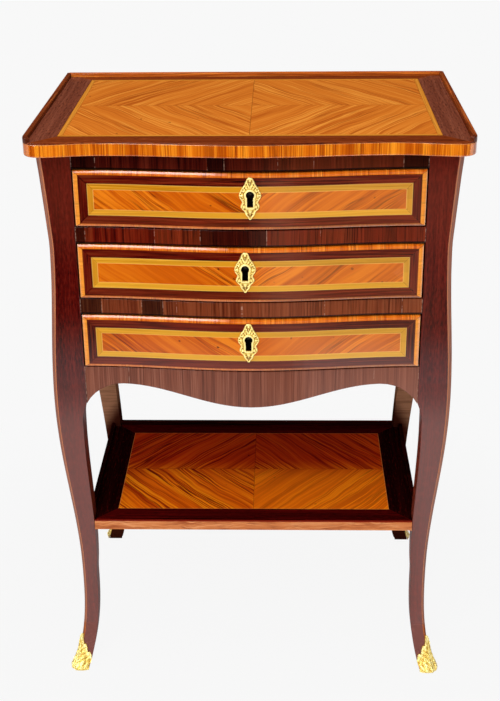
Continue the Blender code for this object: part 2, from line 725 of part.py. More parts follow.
def make_shelf():
    clear_x, clear_y = shelf_corner(-1)
    back_x, back_y = shelf_corner(1)
    front = SHELF_FRONT + SHELF_LIP_DEPTH + GAP
    right = [
        (clear_x, front),
        (clear_x, -clear_y),
        (SHELF_HALF, -clear_y),
        (SHELF_HALF, back_y),
        (back_x, back_y),
        (back_x, SHELF_BACK),
    ]
    board = plate("shelf_board", [right + mirrored(right)], "Z", SHELF_BOTTOM, SHELF_BOARD_TOP)
    add_part("shelf_board", board, "oak")

    veneer_low = SHELF_BOARD_TOP + GAP
    rim_x = SHELF_HALF - SHELF_RIM_WIDTH - GAP
    rim_y = SHELF_BACK - SHELF_RIM_WIDTH - GAP
    side_y = min(back_y, rim_y)
    edge = [(clear_x, front), (clear_x, -clear_y), (rim_x, -clear_y), (rim_x, side_y), (back_x, side_y)]
    edge += [(back_x, rim_y)]
    inlay_x = rim_x - SHELF_BANDING_SIDE
    inlay_front = front + SHELF_BANDING_FRONT
    inlay_back = rim_y - SHELF_BANDING_BACK
    inlay = rectangle(-inlay_x, inlay_front, inlay_x, inlay_back)
    banding = plate("shelf_banding", [edge + mirrored(edge), inlay], "Z", veneer_low, SHELF_HEIGHT)
    add_part("shelf_banding", banding, "amaranth")
    make_inlay("shelf", inlay_x, inlay_front, inlay_back, veneer_low, SHELF_HEIGHT, stringing=0.0)

    rim_high = SHELF_HEIGHT + SHELF_RIM_HEIGHT
    for name, side in (("left", -1), ("right", 1)):
        across = sorted((side * SHELF_HALF, side * (SHELF_HALF - SHELF_RIM_WIDTH)))
        add_strip(f"shelf_rim_{name}", (across[0], -clear_y, veneer_low), (across[1], back_y, rim_high))
    low = (-back_x, SHELF_BACK - SHELF_RIM_WIDTH, veneer_low)
    add_strip("shelf_rim_back", low, (back_x, SHELF_BACK, rim_high))
    low = (-clear_x, SHELF_FRONT, SHELF_BOTTOM)
    add_strip("shelf_lip", low, (clear_x, SHELF_FRONT + SHELF_LIP_DEPTH, SHELF_HEIGHT), "tulipwood")


def add_strip(name, low, high, finish="amaranth"):
    """A narrow moulding whose long upper edges are rounded."""
    strip = add_part(name, box(name, low, high), finish)
    along = 0 if high[0] - low[0] > high[1] - low[1] else 1

    def long_upper(a, b):
        return min(a.z, b.z) > high[2] - GAP and abs(a[along] - b[along]) > GAP

    round_edges(strip, SHELF_RIM_ROUND, ROUND_STEPS, long_upper)


# Drawers, built about the middle of the drawer's face


def tails(name, side, base, tip, low, grow):
    """The row of dovetails at one end of a drawer side as one mesh; the room for them is grown all round."""
    across = sorted((side * (DRAWER_HALF + grow), side * (SIDE_INNER_X - grow)))
    forward = 1 if tip > base else -1
    root = base - forward * (GAP if grow else DRAWER_SIDE_THICKNESS / 2)
    narrow = TAIL_HEIGHT / 2 - TAIL_SPREAD + grow
    wide = TAIL_HEIGHT / 2 + grow
    upper = [(root, narrow), (base, narrow), (tip + forward * grow, wide)]
    margin = TAIL_MARGIN + TAIL_HEIGHT / 2
    work = bmesh.new()
    for middle in spread(low + margin, SIDE_HIGH - margin, TAIL_COUNT - 1):
        outline = [(y, middle + z) for y, z in upper] + [(y, middle - z) for y, z in reversed(upper)]
        prism = plate(name, [outline], "X", *across)
        work.from_mesh(prism)
        bpy.data.meshes.remove(prism)
    return mesh_from(name, work)


def is_lip(a, b):
    """Whether an edge of a drawer front lies on the rim of its face: top, bottom or either end."""
    level = abs(a.z - b.z) < GAP
    upright = abs(a.x - b.x) < GAP and abs(a.x) > DRAWER_HALF - GAP
    return max(a.y, b.y) < FRONT_BOW + GAP and (level or upright)


def make_drawer_front(name, slide):
    outline = front_outline(DRAWER_HALF, FRONT_BOW, BACK_OF_FRONT)
    mesh = plate(f"{name}_front", [outline], "Z", -HALF_HEIGHT, HALF_HEIGHT)
    front = add_part(f"{name}_front", mesh, "tulipwood", slide)
    round_edges(front, LIP_ROUND, LIP_STEPS, is_lip)
    return front


def make_drawer_box(name, slide, front):
    """The base in its grooves, the back, and two sides dovetailed to front and back."""
    groove_front = BACK_OF_FRONT - GROOVE_DEPTH
    room = box(
        f"{name}_groove",
        (-GROOVE_X, groove_front, BASE_LOW - GAP),
        (GROOVE_X, DRAWER_END + GAP, BASE_HIGH + GAP),
    )
    groove = add_cutter(f"{name}_groove", room, slide)
    boolean(front, groove)
    base = box(
        f"{name}_base",
        (-GROOVE_X + GAP, groove_front + GAP, BASE_LOW),
        (GROOVE_X - GAP, DRAWER_END, BASE_HIGH),
    )
    add_part(f"{name}_base", base, "oak", slide)
    back = box(
        f"{name}_back",
        (-DRAWER_HALF, DRAWER_BACK_FACE, BASE_HIGH + GAP),
        (DRAWER_HALF, DRAWER_END, SIDE_HIGH),
    )
    back = add_part(f"{name}_back", back, "oak", slide)

    root_front, tip_front = BACK_OF_FRONT + GAP, BACK_OF_FRONT - TAIL_LENGTH
    root_back, tip_back = DRAWER_BACK_FACE - GAP, DRAWER_END - GAP
    for side_name, side in (("left", -1), ("right", 1)):
        across = sorted((side * DRAWER_HALF, side * SIDE_INNER_X))
        board = box(f"{name}_side", (across[0], root_front, SIDE_LOW), (across[1], root_back, SIDE_HIGH))
        board = add_part(f"{name}_side_{side_name}", board, "oak", slide)
        boolean(board, groove)
        ends = (("front", front, root_front, tip_front), ("back", back, root_back, tip_back))
        for end, other, root, tip in ends:
            label = f"{name}_{side_name}_{end}_tails"
            solid = tails(label, side, root, tip, BASE_HIGH, 0.0)
            boolean(board, add_cutter(label, solid, slide), "UNION")
            room = tails(f"{label}_room", side, root, tip, BASE_HIGH, GAP)
            boolean(other, add_cutter(f"{label}_room", room, slide))


# Locks and escutcheons, about a point on the drawer's face that lies off its middle by the lock's shift


def ellipse(width, height, middle, steps):
    angles = [2 * math.pi * i / steps for i in range(steps)]
    return [(width / 2 * math.cos(a), middle + height / 2 * math.sin(a)) for a in angles]


def keyhole_outline():
    """A round hole for the key's shank over a slot for its bit."""
    half_slot = KEYHOLE_SLOT / 2
    start = math.degrees(math.asin(half_slot / KEYHOLE_RADIUS))
    shank = arc((0.0, PIN_HEIGHT), KEYHOLE_RADIUS, start - 90, 270 - start, 2 * ARC_STEPS)
    bottom = PIN_HEIGHT - KEYHOLE_DROP
    return shank + [(-half_slot, bottom), (half_slot, bottom)]


# Half a cartouche from foot to tip, in shares of the escutcheon's half width and height
CARTOUCHE = (
    (0.00, -0.500),
    (0.14, -0.470),
    (0.20, -0.450),
    (0.33, -0.415),
    (0.43, -0.375),
    (0.44, -0.345),
    (0.53, -0.300),
    (0.76, -0.250),
    (0.87, -0.195),
    (0.80, -0.130),
    (0.70, -0.088),
    (0.80, -0.040),
    (0.93, 0.010),
    (1.00, 0.065),
    (0.95, 0.140),
    (0.83, 0.188),
    (0.83, 0.205),
    (0.62, 0.280),
    (0.48, 0.330),
    (0.43, 0.380),
    (0.32, 0.450),
    (0.18, 0.490),
    (0.00, 0.500),
)


def escutcheon_outline():
    """A cartouche: pointed foot, lower lobes, a waist, broad shoulders with a step, and a blunt top."""
    half = ESCUTCHEON_WIDTH / 2
    right = [(u * half, ESCUTCHEON_RISE + v * ESCUTCHEON_HEIGHT) for u, v in CARTOUCHE]
    return right + mirrored(right[1:-1])


def make_escutcheon(name, place, keyhole):
    face = -GAP - ESCUTCHEON_THICKNESS
    mesh = plate(f"{name}_escutcheon", [escutcheon_outline()], "Y", face, -GAP, ESCUTCHEON_EDGE)
    escutcheon = add_part(f"{name}_escutcheon", mesh, "gilt_bronze", place)
    outline = ellipse(BOSS_WIDTH, BOSS_HEIGHT, PIN_HEIGHT - BOSS_DROP, BOSS_STEPS)
    boss = plate(f"{name}_boss", [outline], "Y", -GAP - BOSS_THICKNESS, -2 * GAP, ESCUTCHEON_EDGE)
    boolean(escutcheon, add_cutter(f"{name}_boss", boss, place), "UNION")
    boolean(escutcheon, keyhole)


def make_lock_case(name, place):
    """An iron case, open in front, with the bolt's slot in its top and the drill pin inside."""
    mesh = box(f"{name}_lock", (-LOCK_HALF, LOCK_FRONT, LOCK_LOW), (LOCK_HALF, BACK_OF_FRONT, LOCK_HIGH))
    case = add_part(f"{name}_lock", mesh, "lock_iron", place)
    inner = LOCK_HALF - LOCK_WALL
    hollow = box(
        f"{name}_lock_hollow",
        (-inner, LOCK_FRONT - GAP, LOCK_LOW + LOCK_WALL),
        (inner, BACK_OF_FRONT - LOCK_WALL, LOCK_HIGH - LOCK_WALL),
    )
    boolean(case, add_cutter(f"{name}_lock_hollow", hollow, place))
    slot = box(
        f"{name}_bolt_slot",
        (-BOLT_HALF - BOLT_FIT, BOLT_FACE - BOLT_FIT, LOCK_HIGH - 2 * LOCK_WALL),
        (BOLT_HALF + BOLT_FIT, BOLT_REAR + BOLT_FIT / 2, LOCK_HIGH + GAP),
    )
    boolean(case, add_cutter(f"{name}_bolt_slot", slot, place))
    outline = ellipse(2 * PIN_RADIUS, 2 * PIN_RADIUS, PIN_HEIGHT, PIN_STEPS)
    pin = plate(f"{name}_pin", [outline], "Y", PIN_SETBACK, BACK_OF_FRONT - LOCK_WALL / 2)
    boolean(case, add_cutter(f"{name}_pin", pin, place), "UNION")


def make_lock(name, place, front):
    """Escutcheon and keyhole, the lock let into the back of the front, and its bolt."""
    cut = plate(f"{name}_keyhole", [keyhole_outline()], "Y", -FRONT_BOW, LOCK_FRONT + GAP)
    keyhole = add_cutter(f"{name}_keyhole", cut, place)
    mortise = box(
        f"{name}_lock_mortise",
        (-LOCK_HALF - GAP, LOCK_FRONT - GAP, LOCK_LOW - GAP),
        (LOCK_HALF + GAP, BACK_OF_FRONT + GAP, HALF_HEIGHT + GAP),
    )
    boolean(front, add_cutter(f"{name}_lock_mortise", mortise, place))
    boolean(front, keyhole)
    make_escutcheon(name, place, keyhole)
    make_lock_case(name, place)
    low = (-BOLT_HALF, BOLT_FACE, PIN_HEIGHT + BOLT_ABOVE_PIN)
    bolt = box(f"{name}_bolt", low, (BOLT_HALF, BOLT_REAR, LOCK_HIGH - GAP))
    add_part(f"{name}_bolt", bolt, "lock_iron", place)


def add_place(name, location, parent=None):
    """An empty that pieces are placed by."""
    place = bpy.data.objects.new(name, None)
    PARTS.objects.link(place)
    place.location = location
    place.parent = parent
    return place


def make_drawer(name, floor, lock_shift):
    """One drawer on its own empty, which stands at the middle of the drawer's face."""
    slide = add_place(f"{name}_slide", (0.0, FACE_Y, floor + DRAWER_GAP + HALF_HEIGHT))
    front = make_drawer_front(name, slide)
    make_drawer_box(name, slide, front)
    make_lock(name, add_place(f"{name}_lock_place", (lock_shift, 0.0, 0.0), slide), front)


make_legs()
make_front_frame()
make_sides()
make_back()
make_runners()
make_top()
make_shelf()
for position, level in enumerate(LEVELS):
    make_drawer(f"{level}_drawer", opening_floor(position), LOCK_SHIFTS[position])
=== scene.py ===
"""Looks of the side table: veneers, gilt mounts, studio and camera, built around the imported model.

Units are metres in the model's frame: +Z up, the front faces -Y, the floor is at z = 0.
"""

import math

import bmesh
import bpy
from mathutils import Matrix, Vector, noise


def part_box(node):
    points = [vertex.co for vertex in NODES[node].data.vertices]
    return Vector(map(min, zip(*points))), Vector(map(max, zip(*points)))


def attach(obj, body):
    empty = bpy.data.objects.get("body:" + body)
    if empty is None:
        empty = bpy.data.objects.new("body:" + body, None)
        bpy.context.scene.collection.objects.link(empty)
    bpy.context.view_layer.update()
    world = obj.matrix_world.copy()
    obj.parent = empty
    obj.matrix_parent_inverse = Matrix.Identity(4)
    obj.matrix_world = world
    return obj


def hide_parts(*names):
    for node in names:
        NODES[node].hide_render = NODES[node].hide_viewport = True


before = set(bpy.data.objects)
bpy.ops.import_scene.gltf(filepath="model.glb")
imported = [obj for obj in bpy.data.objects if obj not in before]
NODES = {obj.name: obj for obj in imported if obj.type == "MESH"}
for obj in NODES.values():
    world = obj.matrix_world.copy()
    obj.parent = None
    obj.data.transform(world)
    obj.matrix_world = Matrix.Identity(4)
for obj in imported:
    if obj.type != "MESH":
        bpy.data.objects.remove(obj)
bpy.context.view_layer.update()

# Camera at the photograph's viewing angle
PHOTO_HEIGHT = 701
FOCAL_PIXELS = 1275
CAMERA_PLACE = (0.0367, -1.5457, 1.0913)
CAMERA_YAW = 0.0272
CAMERA_PITCH = -0.4248
CAMERA_ROLL = 0.0102
SENSOR = 36.0

LEVELS = ("lower", "middle", "upper")
ENDS = (("front", -1), ("back", 1))
SIDES = (("left", -1), ("right", 1))


def rgb(red, green, blue):
    """An sRGB colour, 0 to 255, as linear light."""
    return tuple(((c / 255 + 0.055) / 1.055) ** 2.4 if c > 10 else c / 3295 for c in (red, green, blue))


# Shader arithmetic


def math_node(operation):
    """A method that adds a Math node of that kind."""

    def method(self, *others):
        return self.shader.calc(operation, self, *others)

    return method


class Num:
    """A number worked out by shader nodes. Arithmetic on it adds Math nodes."""

    __add__ = __radd__ = math_node("ADD")
    __sub__ = math_node("SUBTRACT")
    __mul__ = __rmul__ = math_node("MULTIPLY")
    __gt__ = math_node("GREATER_THAN")
    __lt__ = math_node("LESS_THAN")
    __abs__ = math_node("ABSOLUTE")
    lowest = math_node("MINIMUM")
    highest = math_node("MAXIMUM")
    sign = math_node("SIGN")
    floor = math_node("FLOOR")

    def __init__(self, shader, socket):
        self.shader = shader
        self.socket = socket

    def __rsub__(self, other):
        return self.shader.calc("SUBTRACT", other, self)

    def fade(self, start, end):
        """0 below start, 1 above end, smooth between."""
        inputs = {"Value": self, "From Min": start, "From Max": end}
        node = self.shader.add("ShaderNodeMapRange", inputs, interpolation_type="SMOOTHSTEP")
        return Num(self.shader, node.outputs["Result"])

    def near(self, centre, width):
        """1 at the centre, falling to 0 at that distance from it."""
        return 1 - abs(self - centre).fade(0.0, width)


class Graph:
    """A node tree, with short names for the nodes that it uses."""

    def __init__(self, tree):
        self.tree = tree

    def add(self, kind, inputs=None, **settings):
        node = self.tree.nodes.new(kind)
        for key, value in settings.items():
            setattr(node, key, value)
        for key, value in (inputs or {}).items():
            self.put(node.inputs[key], value)
        return node

    def put(self, socket, value):
        if isinstance(value, Num):
            value = value.socket
        if isinstance(value, bpy.types.NodeSocket):
            self.tree.links.new(value, socket)
        elif socket.type == "RGBA" and len(value) == 3:
            socket.default_value = (*value, 1.0)
        else:
            socket.default_value = value

    def calc(self, operation, *values):
        node = self.add("ShaderNodeMath", operation=operation)
        for socket, value in zip(node.inputs, values):
            self.put(socket, value)
        return Num(self, node.outputs[0])

    def parts(self, vector):
        """The three numbers of a vector."""
        node = self.add("ShaderNodeSeparateXYZ", {"Vector": vector})
        return [Num(self, socket) for socket in node.outputs]

    def vector(self, x, y, z):
        return self.add("ShaderNodeCombineXYZ", {"X": x, "Y": y, "Z": z}).outputs[0]

    def mix(self, share, first, second, blend="MIX"):
        node = self.add("ShaderNodeMix", data_type="RGBA", blend_type=blend)
        for socket, value in zip((node.inputs[0], node.inputs[6], node.inputs[7]), (share, first, second)):
            self.put(socket, value)
        return node.outputs[2]


class Shader(Graph):
    """One material of the object, in the coordinates of the model."""

    def __init__(self, name, **constants):
        self.material = bpy.data.materials.new(name)
        self.material.use_nodes = True
        super().__init__(self.material.node_tree)
        self.surface = self.tree.nodes["Principled BSDF"]
        for key, value in constants.items():
            self.set(key, value)
        self.x, self.y, self.z = self.parts(self.add("ShaderNodeTexCoord").outputs["Object"])

    def set(self, key, value):
        self.put(self.surface.inputs[key], value)

    def streaks(self, along, across, depth, detail=2.0, roughness=0.5):
        """Noise from 0 to 1, in coordinates that are already scaled to its grain."""
        vector = self.vector(along, across, depth)
        inputs = {"Vector": vector, "Scale": 1.0, "Detail": detail, "Roughness": roughness}
        return Num(self, self.add("ShaderNodeTexNoise", inputs).outputs["Fac"])

    def chance(self, value):
        """A fixed random number from 0 to 1 for each value."""
        node = self.add("ShaderNodeTexWhiteNoise", {"W": value}, noise_dimensions="1D")
        return Num(self, node.outputs["Value"])

    def specks(self, along, across, depth):
        """Distance to the nearest of scattered points, in coordinates scaled to their spacing."""
        node = self.add("ShaderNodeTexVoronoi", {"Vector": self.vector(along, across, depth), "Scale": 1.0})
        return Num(self, node.outputs["Distance"])

    def ramp(self, value, *stops):
        node = self.add("ShaderNodeValToRGB", {"Fac": value})
        elements = node.color_ramp.elements
        while len(elements) < len(stops):
            elements.new(0.5)
        for element, (position, colour) in zip(elements, stops):
            element.position = position
            element.color = (*colour, 1.0)
        return node.outputs["Color"]

    def rounded(self, radius):
        """The normal with its edges rounded, and 1 on those edges."""
        bevel = self.add("ShaderNodeBevel", {"Radius": radius}, samples=6).outputs["Normal"]
        flat = self.add("ShaderNodeNewGeometry").outputs["Normal"]
        both = self.add("ShaderNodeVectorMath", operation="DOT_PRODUCT")
        self.put(both.inputs[0], bevel)
        self.put(both.inputs[1], flat)
        return bevel, 1 - Num(self, both.outputs["Value"]).fade(0.80, 0.995)

    def finish(self, colour, relief, depth=0.0001, normal=None):
        """Sets the colour, and raises the grain in the shading normal."""
        self.set("Base Color", colour)
        inputs = {"Height": relief, "Distance": depth, "Strength": 0.6}
        if normal:
            inputs["Normal"] = normal
            self.set("Coat Normal", normal)
        self.set("Normal", self.add("ShaderNodeBump", inputs).outputs["Normal"])
        return self.material


# Woods: dark, middle and light tone of the grain, and the colour of its veins

TULIPWOOD = (rgb(158, 60, 4), rgb(192, 88, 8), rgb(216, 118, 20), rgb(82, 26, 4))
TOP_TULIPWOOD = (rgb(180, 88, 22), rgb(206, 114, 34), rgb(224, 140, 52), rgb(110, 46, 10))
EDGE_TULIPWOOD = (rgb(156, 62, 4), rgb(202, 98, 8), rgb(232, 140, 28), rgb(100, 34, 4))
LIP_TULIPWOOD = (rgb(180, 72, 8), rgb(214, 106, 18), rgb(236, 144, 48), rgb(120, 40, 6))
SHELF_TULIPWOOD = (rgb(168, 50, 2), rgb(232, 101, 5), rgb(255, 144, 14), rgb(104, 22, 2))
AMARANTH = (rgb(54, 5, 3), rgb(86, 13, 5), rgb(114, 32, 14), rgb(22, 2, 2))
LEG_AMARANTH = (rgb(46, 3, 2), rgb(76, 9, 6), rgb(100, 24, 15), rgb(18, 2, 2))
TOP_AMARANTH = (rgb(86, 30, 10), rgb(116, 46, 14), rgb(140, 66, 28), rgb(48, 14, 8))
SIDE_AMARANTH = (rgb(84, 38, 24), rgb(114, 58, 40), rgb(140, 80, 58), rgb(48, 18, 12))
SHELF_AMARANTH = (rgb(16, 1, 1), rgb(58, 4, 4), rgb(98, 10, 8), rgb(6, 1, 1))
SHELF_SIDE_AMARANTH = (rgb(8, 1, 1), rgb(26, 3, 3), rgb(54, 6, 5), rgb(4, 1, 1))
SHADED_AMARANTH = (rgb(34, 4, 3), rgb(58, 11, 6), rgb(84, 26, 14), rgb(14, 2, 2))
RAIL_AMARANTH = (rgb(76, 26, 12), rgb(106, 46, 24), rgb(132, 70, 42), rgb(36, 8, 5))
BROWN_AMARANTH = (rgb(88, 42, 27), rgb(114, 60, 41), rgb(138, 82, 62), rgb(50, 18, 12))
BOXWOOD = (rgb(176, 112, 16), rgb(200, 134, 25), rgb(220, 160, 48), rgb(124, 72, 10))
STRING_BOXWOOD = (rgb(180, 106, 30), rgb(204, 128, 40), rgb(222, 150, 58), rgb(136, 76, 20))
OAK = (rgb(118, 84, 48), rgb(150, 112, 68), rgb(172, 134, 88), rgb(84, 56, 30))

# Finishes
POLISH = {"Roughness": 0.5, "Specular IOR Level": 0.0, "Coat Weight": 0.9, "Coat Roughness": 0.08}
WAXED = {"Roughness": 0.5, "Specular IOR Level": 0.0, "Coat Weight": 0.25, "Coat Roughness": 0.16}
DULL = {"Roughness": 0.5, "Specular IOR Level": 0.05, "Coat Weight": 0.08, "Coat Roughness": 0.2}
MATT = {"Roughness": 0.6, "Specular IOR Level": 0.0}
BARE = {"Roughness": 0.62, "Specular IOR Level": 0.3}

# Rounding of the edges in the shading, in metres
EDGE_ROUNDING = 0.0008
TOP_EDGE_ROUNDING = 0.0012
RAIL_ROUNDING = 0.0007
LEG_ROUNDING = 0.0010

# Directions of the grain in the matched fields
TOP_GRAIN = math.radians(55)
SHELF_GRAIN = math.radians(50)
SIDE_GRAIN = math.radians(40)
DRAWER_GRAIN = math.radians(36)

# Marks of age; painted shadow in the gaps over the drawers; and the stretch of x over which the front pales
# towards the right, partly the wood's own tone and partly painted reflection
KNOT = rgb(54, 18, 6)
FIELD_JOINT = rgb(84, 32, 8)
GLUE = rgb(186, 150, 130)
GAP_SHADOW = rgb(8, 3, 2)
PALING = (-0.02, 0.06)

# How far the grain wanders, in metres
WANDER = 0.014
FIELD_WANDER = 0.024

# Cells to a metre that may hold a knot, along and across the grain, and a knot's share of its cell
KNOT_CELLS = (24.0, 34.0, 0.055)
DRAWER_KNOT_CELLS = (43.2, 54.4, 0.09)
LIP_KNOT_CELLS = (12.0, 34.0, 0.12)


def grain(s, along, across, seed, wood, bands=38.0, lines=240.0, contrast=1.0, veins=0.6, bold=0.55):
    """Colour and fine lines of a veneer: soft bands, clustered lines and dark veins along its grain."""
    dark, middle, light, vein = wood
    wander = s.streaks(along * 4.0, across * 8.0, seed) - 0.5
    across = across + wander * WANDER
    broad = s.streaks(along * 1.8, across * bands, seed + 1.0) - 0.5
    fine = s.streaks(along * 6.0, across * lines, seed + 2.0, 4.0, 0.62) - 0.5
    cluster = s.streaks(along * 5.0, across * bands * 0.8, seed + 5.0).fade(0.40, 0.62)
    tone = (broad * bold + fine * (cluster * 0.9 + 0.35)) * contrast + 0.5
    colour = s.ramp(tone, (0.30, dark), (0.50, middle), (0.70, light))
    contour = s.streaks(along * 3.0, across * bands * 3.2, seed + 3.0, 3.0, 0.55)
    thin = contour.near(0.5, 0.030) * cluster
    return s.mix(thin * veins, colour, vein), fine


def flecks(s, along, across, seed, cells):
    """Small knots and worm holes: 1 in a hole, 0 elsewhere."""
    by_length, by_width, size = cells
    return 1 - s.specks(along * by_length, across * by_width, seed).fade(size * 0.5, size)


def seam(*distances, width=0.0005):
    """1 on a joint between veneers, 0 elsewhere."""
    nearest = distances[0]
    for other in distances[1:]:
        nearest = nearest.lowest(other)
    return 1 - nearest.fade(width * 0.3, width)


def matched_field(s, u, v, angle, seed, wood, fold=True, contrast=1.0, veins=0.6, bold=0.55, lines=240.0):
    """Book-matched veneer: mirrored about u = 0, and about v = 0 too where it is folded both ways."""
    far_u = abs(u)
    far_v = abs(v) if fold else v
    lean = 1 if fold else -1
    cosine, sine = math.cos(angle), math.sin(angle)
    across = far_u * sine + far_v * (lean * cosine)
    along = far_u * cosine - far_v * (lean * sine)
    leaf = u.sign() * 1.7 + seed
    if fold:
        leaf = leaf + v.sign() * 3.1
    across = across + (s.streaks(along * 9.0, across * 14.0, leaf + 5.0) - 0.5) * FIELD_WANDER
    colour, fine = grain(s, along, across, leaf, wood, lines * 0.16, lines, contrast, veins, bold)
    spots = flecks(s, along, across, leaf, KNOT_CELLS if fold else DRAWER_KNOT_CELLS)
    colour = s.mix(spots * 0.8, colour, KNOT)
    joints = seam(far_u, far_v) if fold else seam(far_u)
    return s.mix(joints * 0.6, colour, FIELD_JOINT), fine


def box_middle(node):
    low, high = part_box(node)
    return (low + high) / 2


def dress(material, *names):
    for name in names:
        slots = NODES[name].data.materials
        slots.clear()
        slots.append(material)


def dress_rounded(s, colour, relief, rounding, *names):
    normal, _ = s.rounded(rounding)
    dress(s.finish(colour, relief, normal=normal), *names)


def from_edges(u, v, low, high):
    """Distances in from the ends of a rectangle in u and in v, and 1 where an end in u is the nearer."""
    middle, half = (low + high) / 2, (high - low) / 2
    in_u = half.x - abs(u - middle.x)
    in_v = half.y - abs(v - middle.y)
    return in_u, in_v, in_u < in_v


def along_edges(u, v, in_u, in_v, by_u):
    """Coordinates along and across the nearest edge of a rectangle."""
    return by_u * v + (1 - by_u) * u, by_u * in_u + (1 - by_u) * in_v


def plan(vector):
    return Vector((vector.x, vector.y))


def front(vector):
    return Vector((vector.x, vector.z))


# Top


def make_top_field():
    middle = box_middle("top_field")
    s = Shader("top_tulipwood", **WAXED)
    colour, fine = matched_field(
        s, s.x - middle.x, s.y - middle.y, TOP_GRAIN, 1.0, TOP_TULIPWOOD,
        contrast=1.7, veins=0.45, bold=0.2, lines=380.0,
    )
    dress(s.finish(colour, fine), "top_field")


def make_stringing():
    low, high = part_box("top_stringing")
    s = Shader("stringing_boxwood", **WAXED)
    in_u, in_v, by_u = from_edges(s.x, s.y, plan(low), plan(high))
    along, across = along_edges(s.x, s.y, in_u, in_v, by_u)
    colour, fine = grain(s, along, across, 2.0, STRING_BOXWOOD, 90.0, 420.0)
    colour = s.mix(seam(abs(in_u - in_v)), colour, rgb(110, 62, 14))
    dress(s.finish(colour, fine), "top_stringing")


def make_border(name, node, field, wood, side_wood, finish):
    """A dark border round a field, mitred at the corners, its grain along each side."""
    low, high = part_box(field)
    s = Shader(name, **finish)
    in_u, in_v, by_u = from_edges(s.x, s.y, plan(low), plan(high))
    along, across = along_edges(s.x, s.y, in_u, in_v, by_u)
    colour, fine = grain(s, along, across, 5.0, wood, 60.0, 420.0)
    ends, _ = grain(s, along, across, 8.0, side_wood, 60.0, 420.0)
    colour = s.mix(by_u, colour, ends)
    pores = s.streaks(along * 90.0, across * 520.0, 2.0, 2.0)
    colour = s.mix(pores.fade(0.56, 0.72) * 0.35, colour, wood[2], "SCREEN")
    colour = s.mix((1 - pores.fade(0.30, 0.46)) * 0.6, colour, wood[3])
    colour = s.mix(seam(abs(in_u - in_v), width=0.0007) * 0.5, colour, wood[2])
    dress_rounded(s, colour, fine, EDGE_ROUNDING, node)


def make_top_edge():
    """The board's own edge: tulipwood with its grain upright, in strips of uneven tone."""
    s = Shader("edge_tulipwood", **POLISH)
    around = s.x + s.y * 0.8
    strip = s.chance((around * 90.0 + s.streaks(0.0, around * 40.0, 2.0) * 1.6).floor()) - 0.5
    colour, fine = grain(s, s.z, around, 9.0, EDGE_TULIPWOOD, 120.0, 620.0, 1.7, 0.8)
    colour = s.mix(strip.highest(0.0) * 0.3, colour, EDGE_TULIPWOOD[2])
    colour = s.mix((0.0 - strip).highest(0.0) * 0.4, colour, EDGE_TULIPWOOD[0])
    normal, edge = s.rounded(TOP_EDGE_ROUNDING)
    # Painted highlight along the rounded arrises
    colour = s.mix(edge * 0.35, colour, rgb(250, 206, 150))
    dress(s.finish(colour, fine, normal=normal), "top_board")


RIM_WOODS = {
    "left": (rgb(90, 36, 14), rgb(136, 62, 26), rgb(184, 104, 50), rgb(40, 12, 6)),
    "right": (rgb(104, 40, 14), rgb(150, 70, 26), rgb(190, 104, 44), rgb(50, 16, 8)),
    "back": (rgb(130, 54, 12), rgb(182, 90, 26), rgb(216, 126, 48), rgb(70, 24, 8)),
}
# Lengths over which the left and right rims darken towards their front and back ends
FRONT_DARKENING = 0.020
BACK_DARKENING = 0.018


def make_rims():
    """Raised rims of the top, with a painted highlight along their arrises, and darker towards the ends of
    the left and right ones.
    """
    for name, wood in RIM_WOODS.items():
        s = Shader(f"rim_{name}", **WAXED)
        along, across = (s.x, s.y) if name == "back" else (s.y, s.x)
        colour, fine = grain(s, along, across + s.z * 0.7, 12.0, wood, 90.0, 400.0)
        normal, edge = s.rounded(EDGE_ROUNDING)
        # Painted highlight along the rounded arrises
        colour = s.mix(edge * 0.4, colour, rgb(216, 140, 80))
        if name != "back":
            low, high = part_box(f"top_rim_{name}")
            dark_front_end = 1 - s.y.fade(low.y, low.y + FRONT_DARKENING)
            tone_shift = dark_front_end.highest(s.y.fade(high.y - BACK_DARKENING, high.y))
            colour = s.mix(tone_shift * 0.75, colour, rgb(64, 26, 18))
        dress(s.finish(colour, fine, normal=normal), f"top_rim_{name}")


# Shelf


SHELF_BLEND = 0.03
SHELF_LINE = 0.0010
LIP_WOOD = (rgb(150, 74, 34), rgb(190, 110, 58), rgb(216, 146, 94), rgb(104, 44, 20))
LIP_LINE = (0.0016, 0.0006)


def make_shelf_field():
    """Matched field, lightest at its right front, with painted shade greying and darkening its back half,
    and a pale line round it.
    """
    low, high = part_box("shelf_field")
    middle = (low + high) / 2
    s = Shader("shelf_tulipwood", **WAXED)
    colour, fine = matched_field(
        s, s.x - middle.x, s.y - middle.y, SHELF_GRAIN, 4.0, SHELF_TULIPWOOD,
        contrast=2.2, veins=1.0, bold=0.25, lines=330.0,
    )
    lightest = (s.x > middle.x) * (s.y < middle.y)
    colour = s.mix(lightest * 0.45, colour, rgb(255, 130, 10))
    # Painted shade: the back half greyed and darkened
    back_shade = s.y.fade(middle.y - SHELF_BLEND, middle.y + SHELF_BLEND)
    colour = s.mix(back_shade, colour, rgb(206, 128, 150), "MULTIPLY")
    in_u, in_v, _ = from_edges(s.x, s.y, plan(low), plan(high))
    colour = s.mix(seam(in_u.lowest(in_v), width=SHELF_LINE) * 0.6, colour, rgb(226, 140, 70))
    dress(s.finish(colour, fine), "shelf_field")


def make_shelf_rims():
    s = Shader("shelf_rim", **MATT)
    colour, fine = grain(s, s.x + s.y, s.z + s.y * 0.2, 13.0, SHELF_SIDE_AMARANTH, 90.0, 400.0)
    normal, edge = s.rounded(EDGE_ROUNDING)
    # Painted highlight along the rounded arrises
    colour = s.mix(edge * 0.5, colour, rgb(150, 74, 56))
    dress(s.finish(colour, fine, normal=normal), "shelf_rim_left", "shelf_rim_right", "shelf_rim_back")


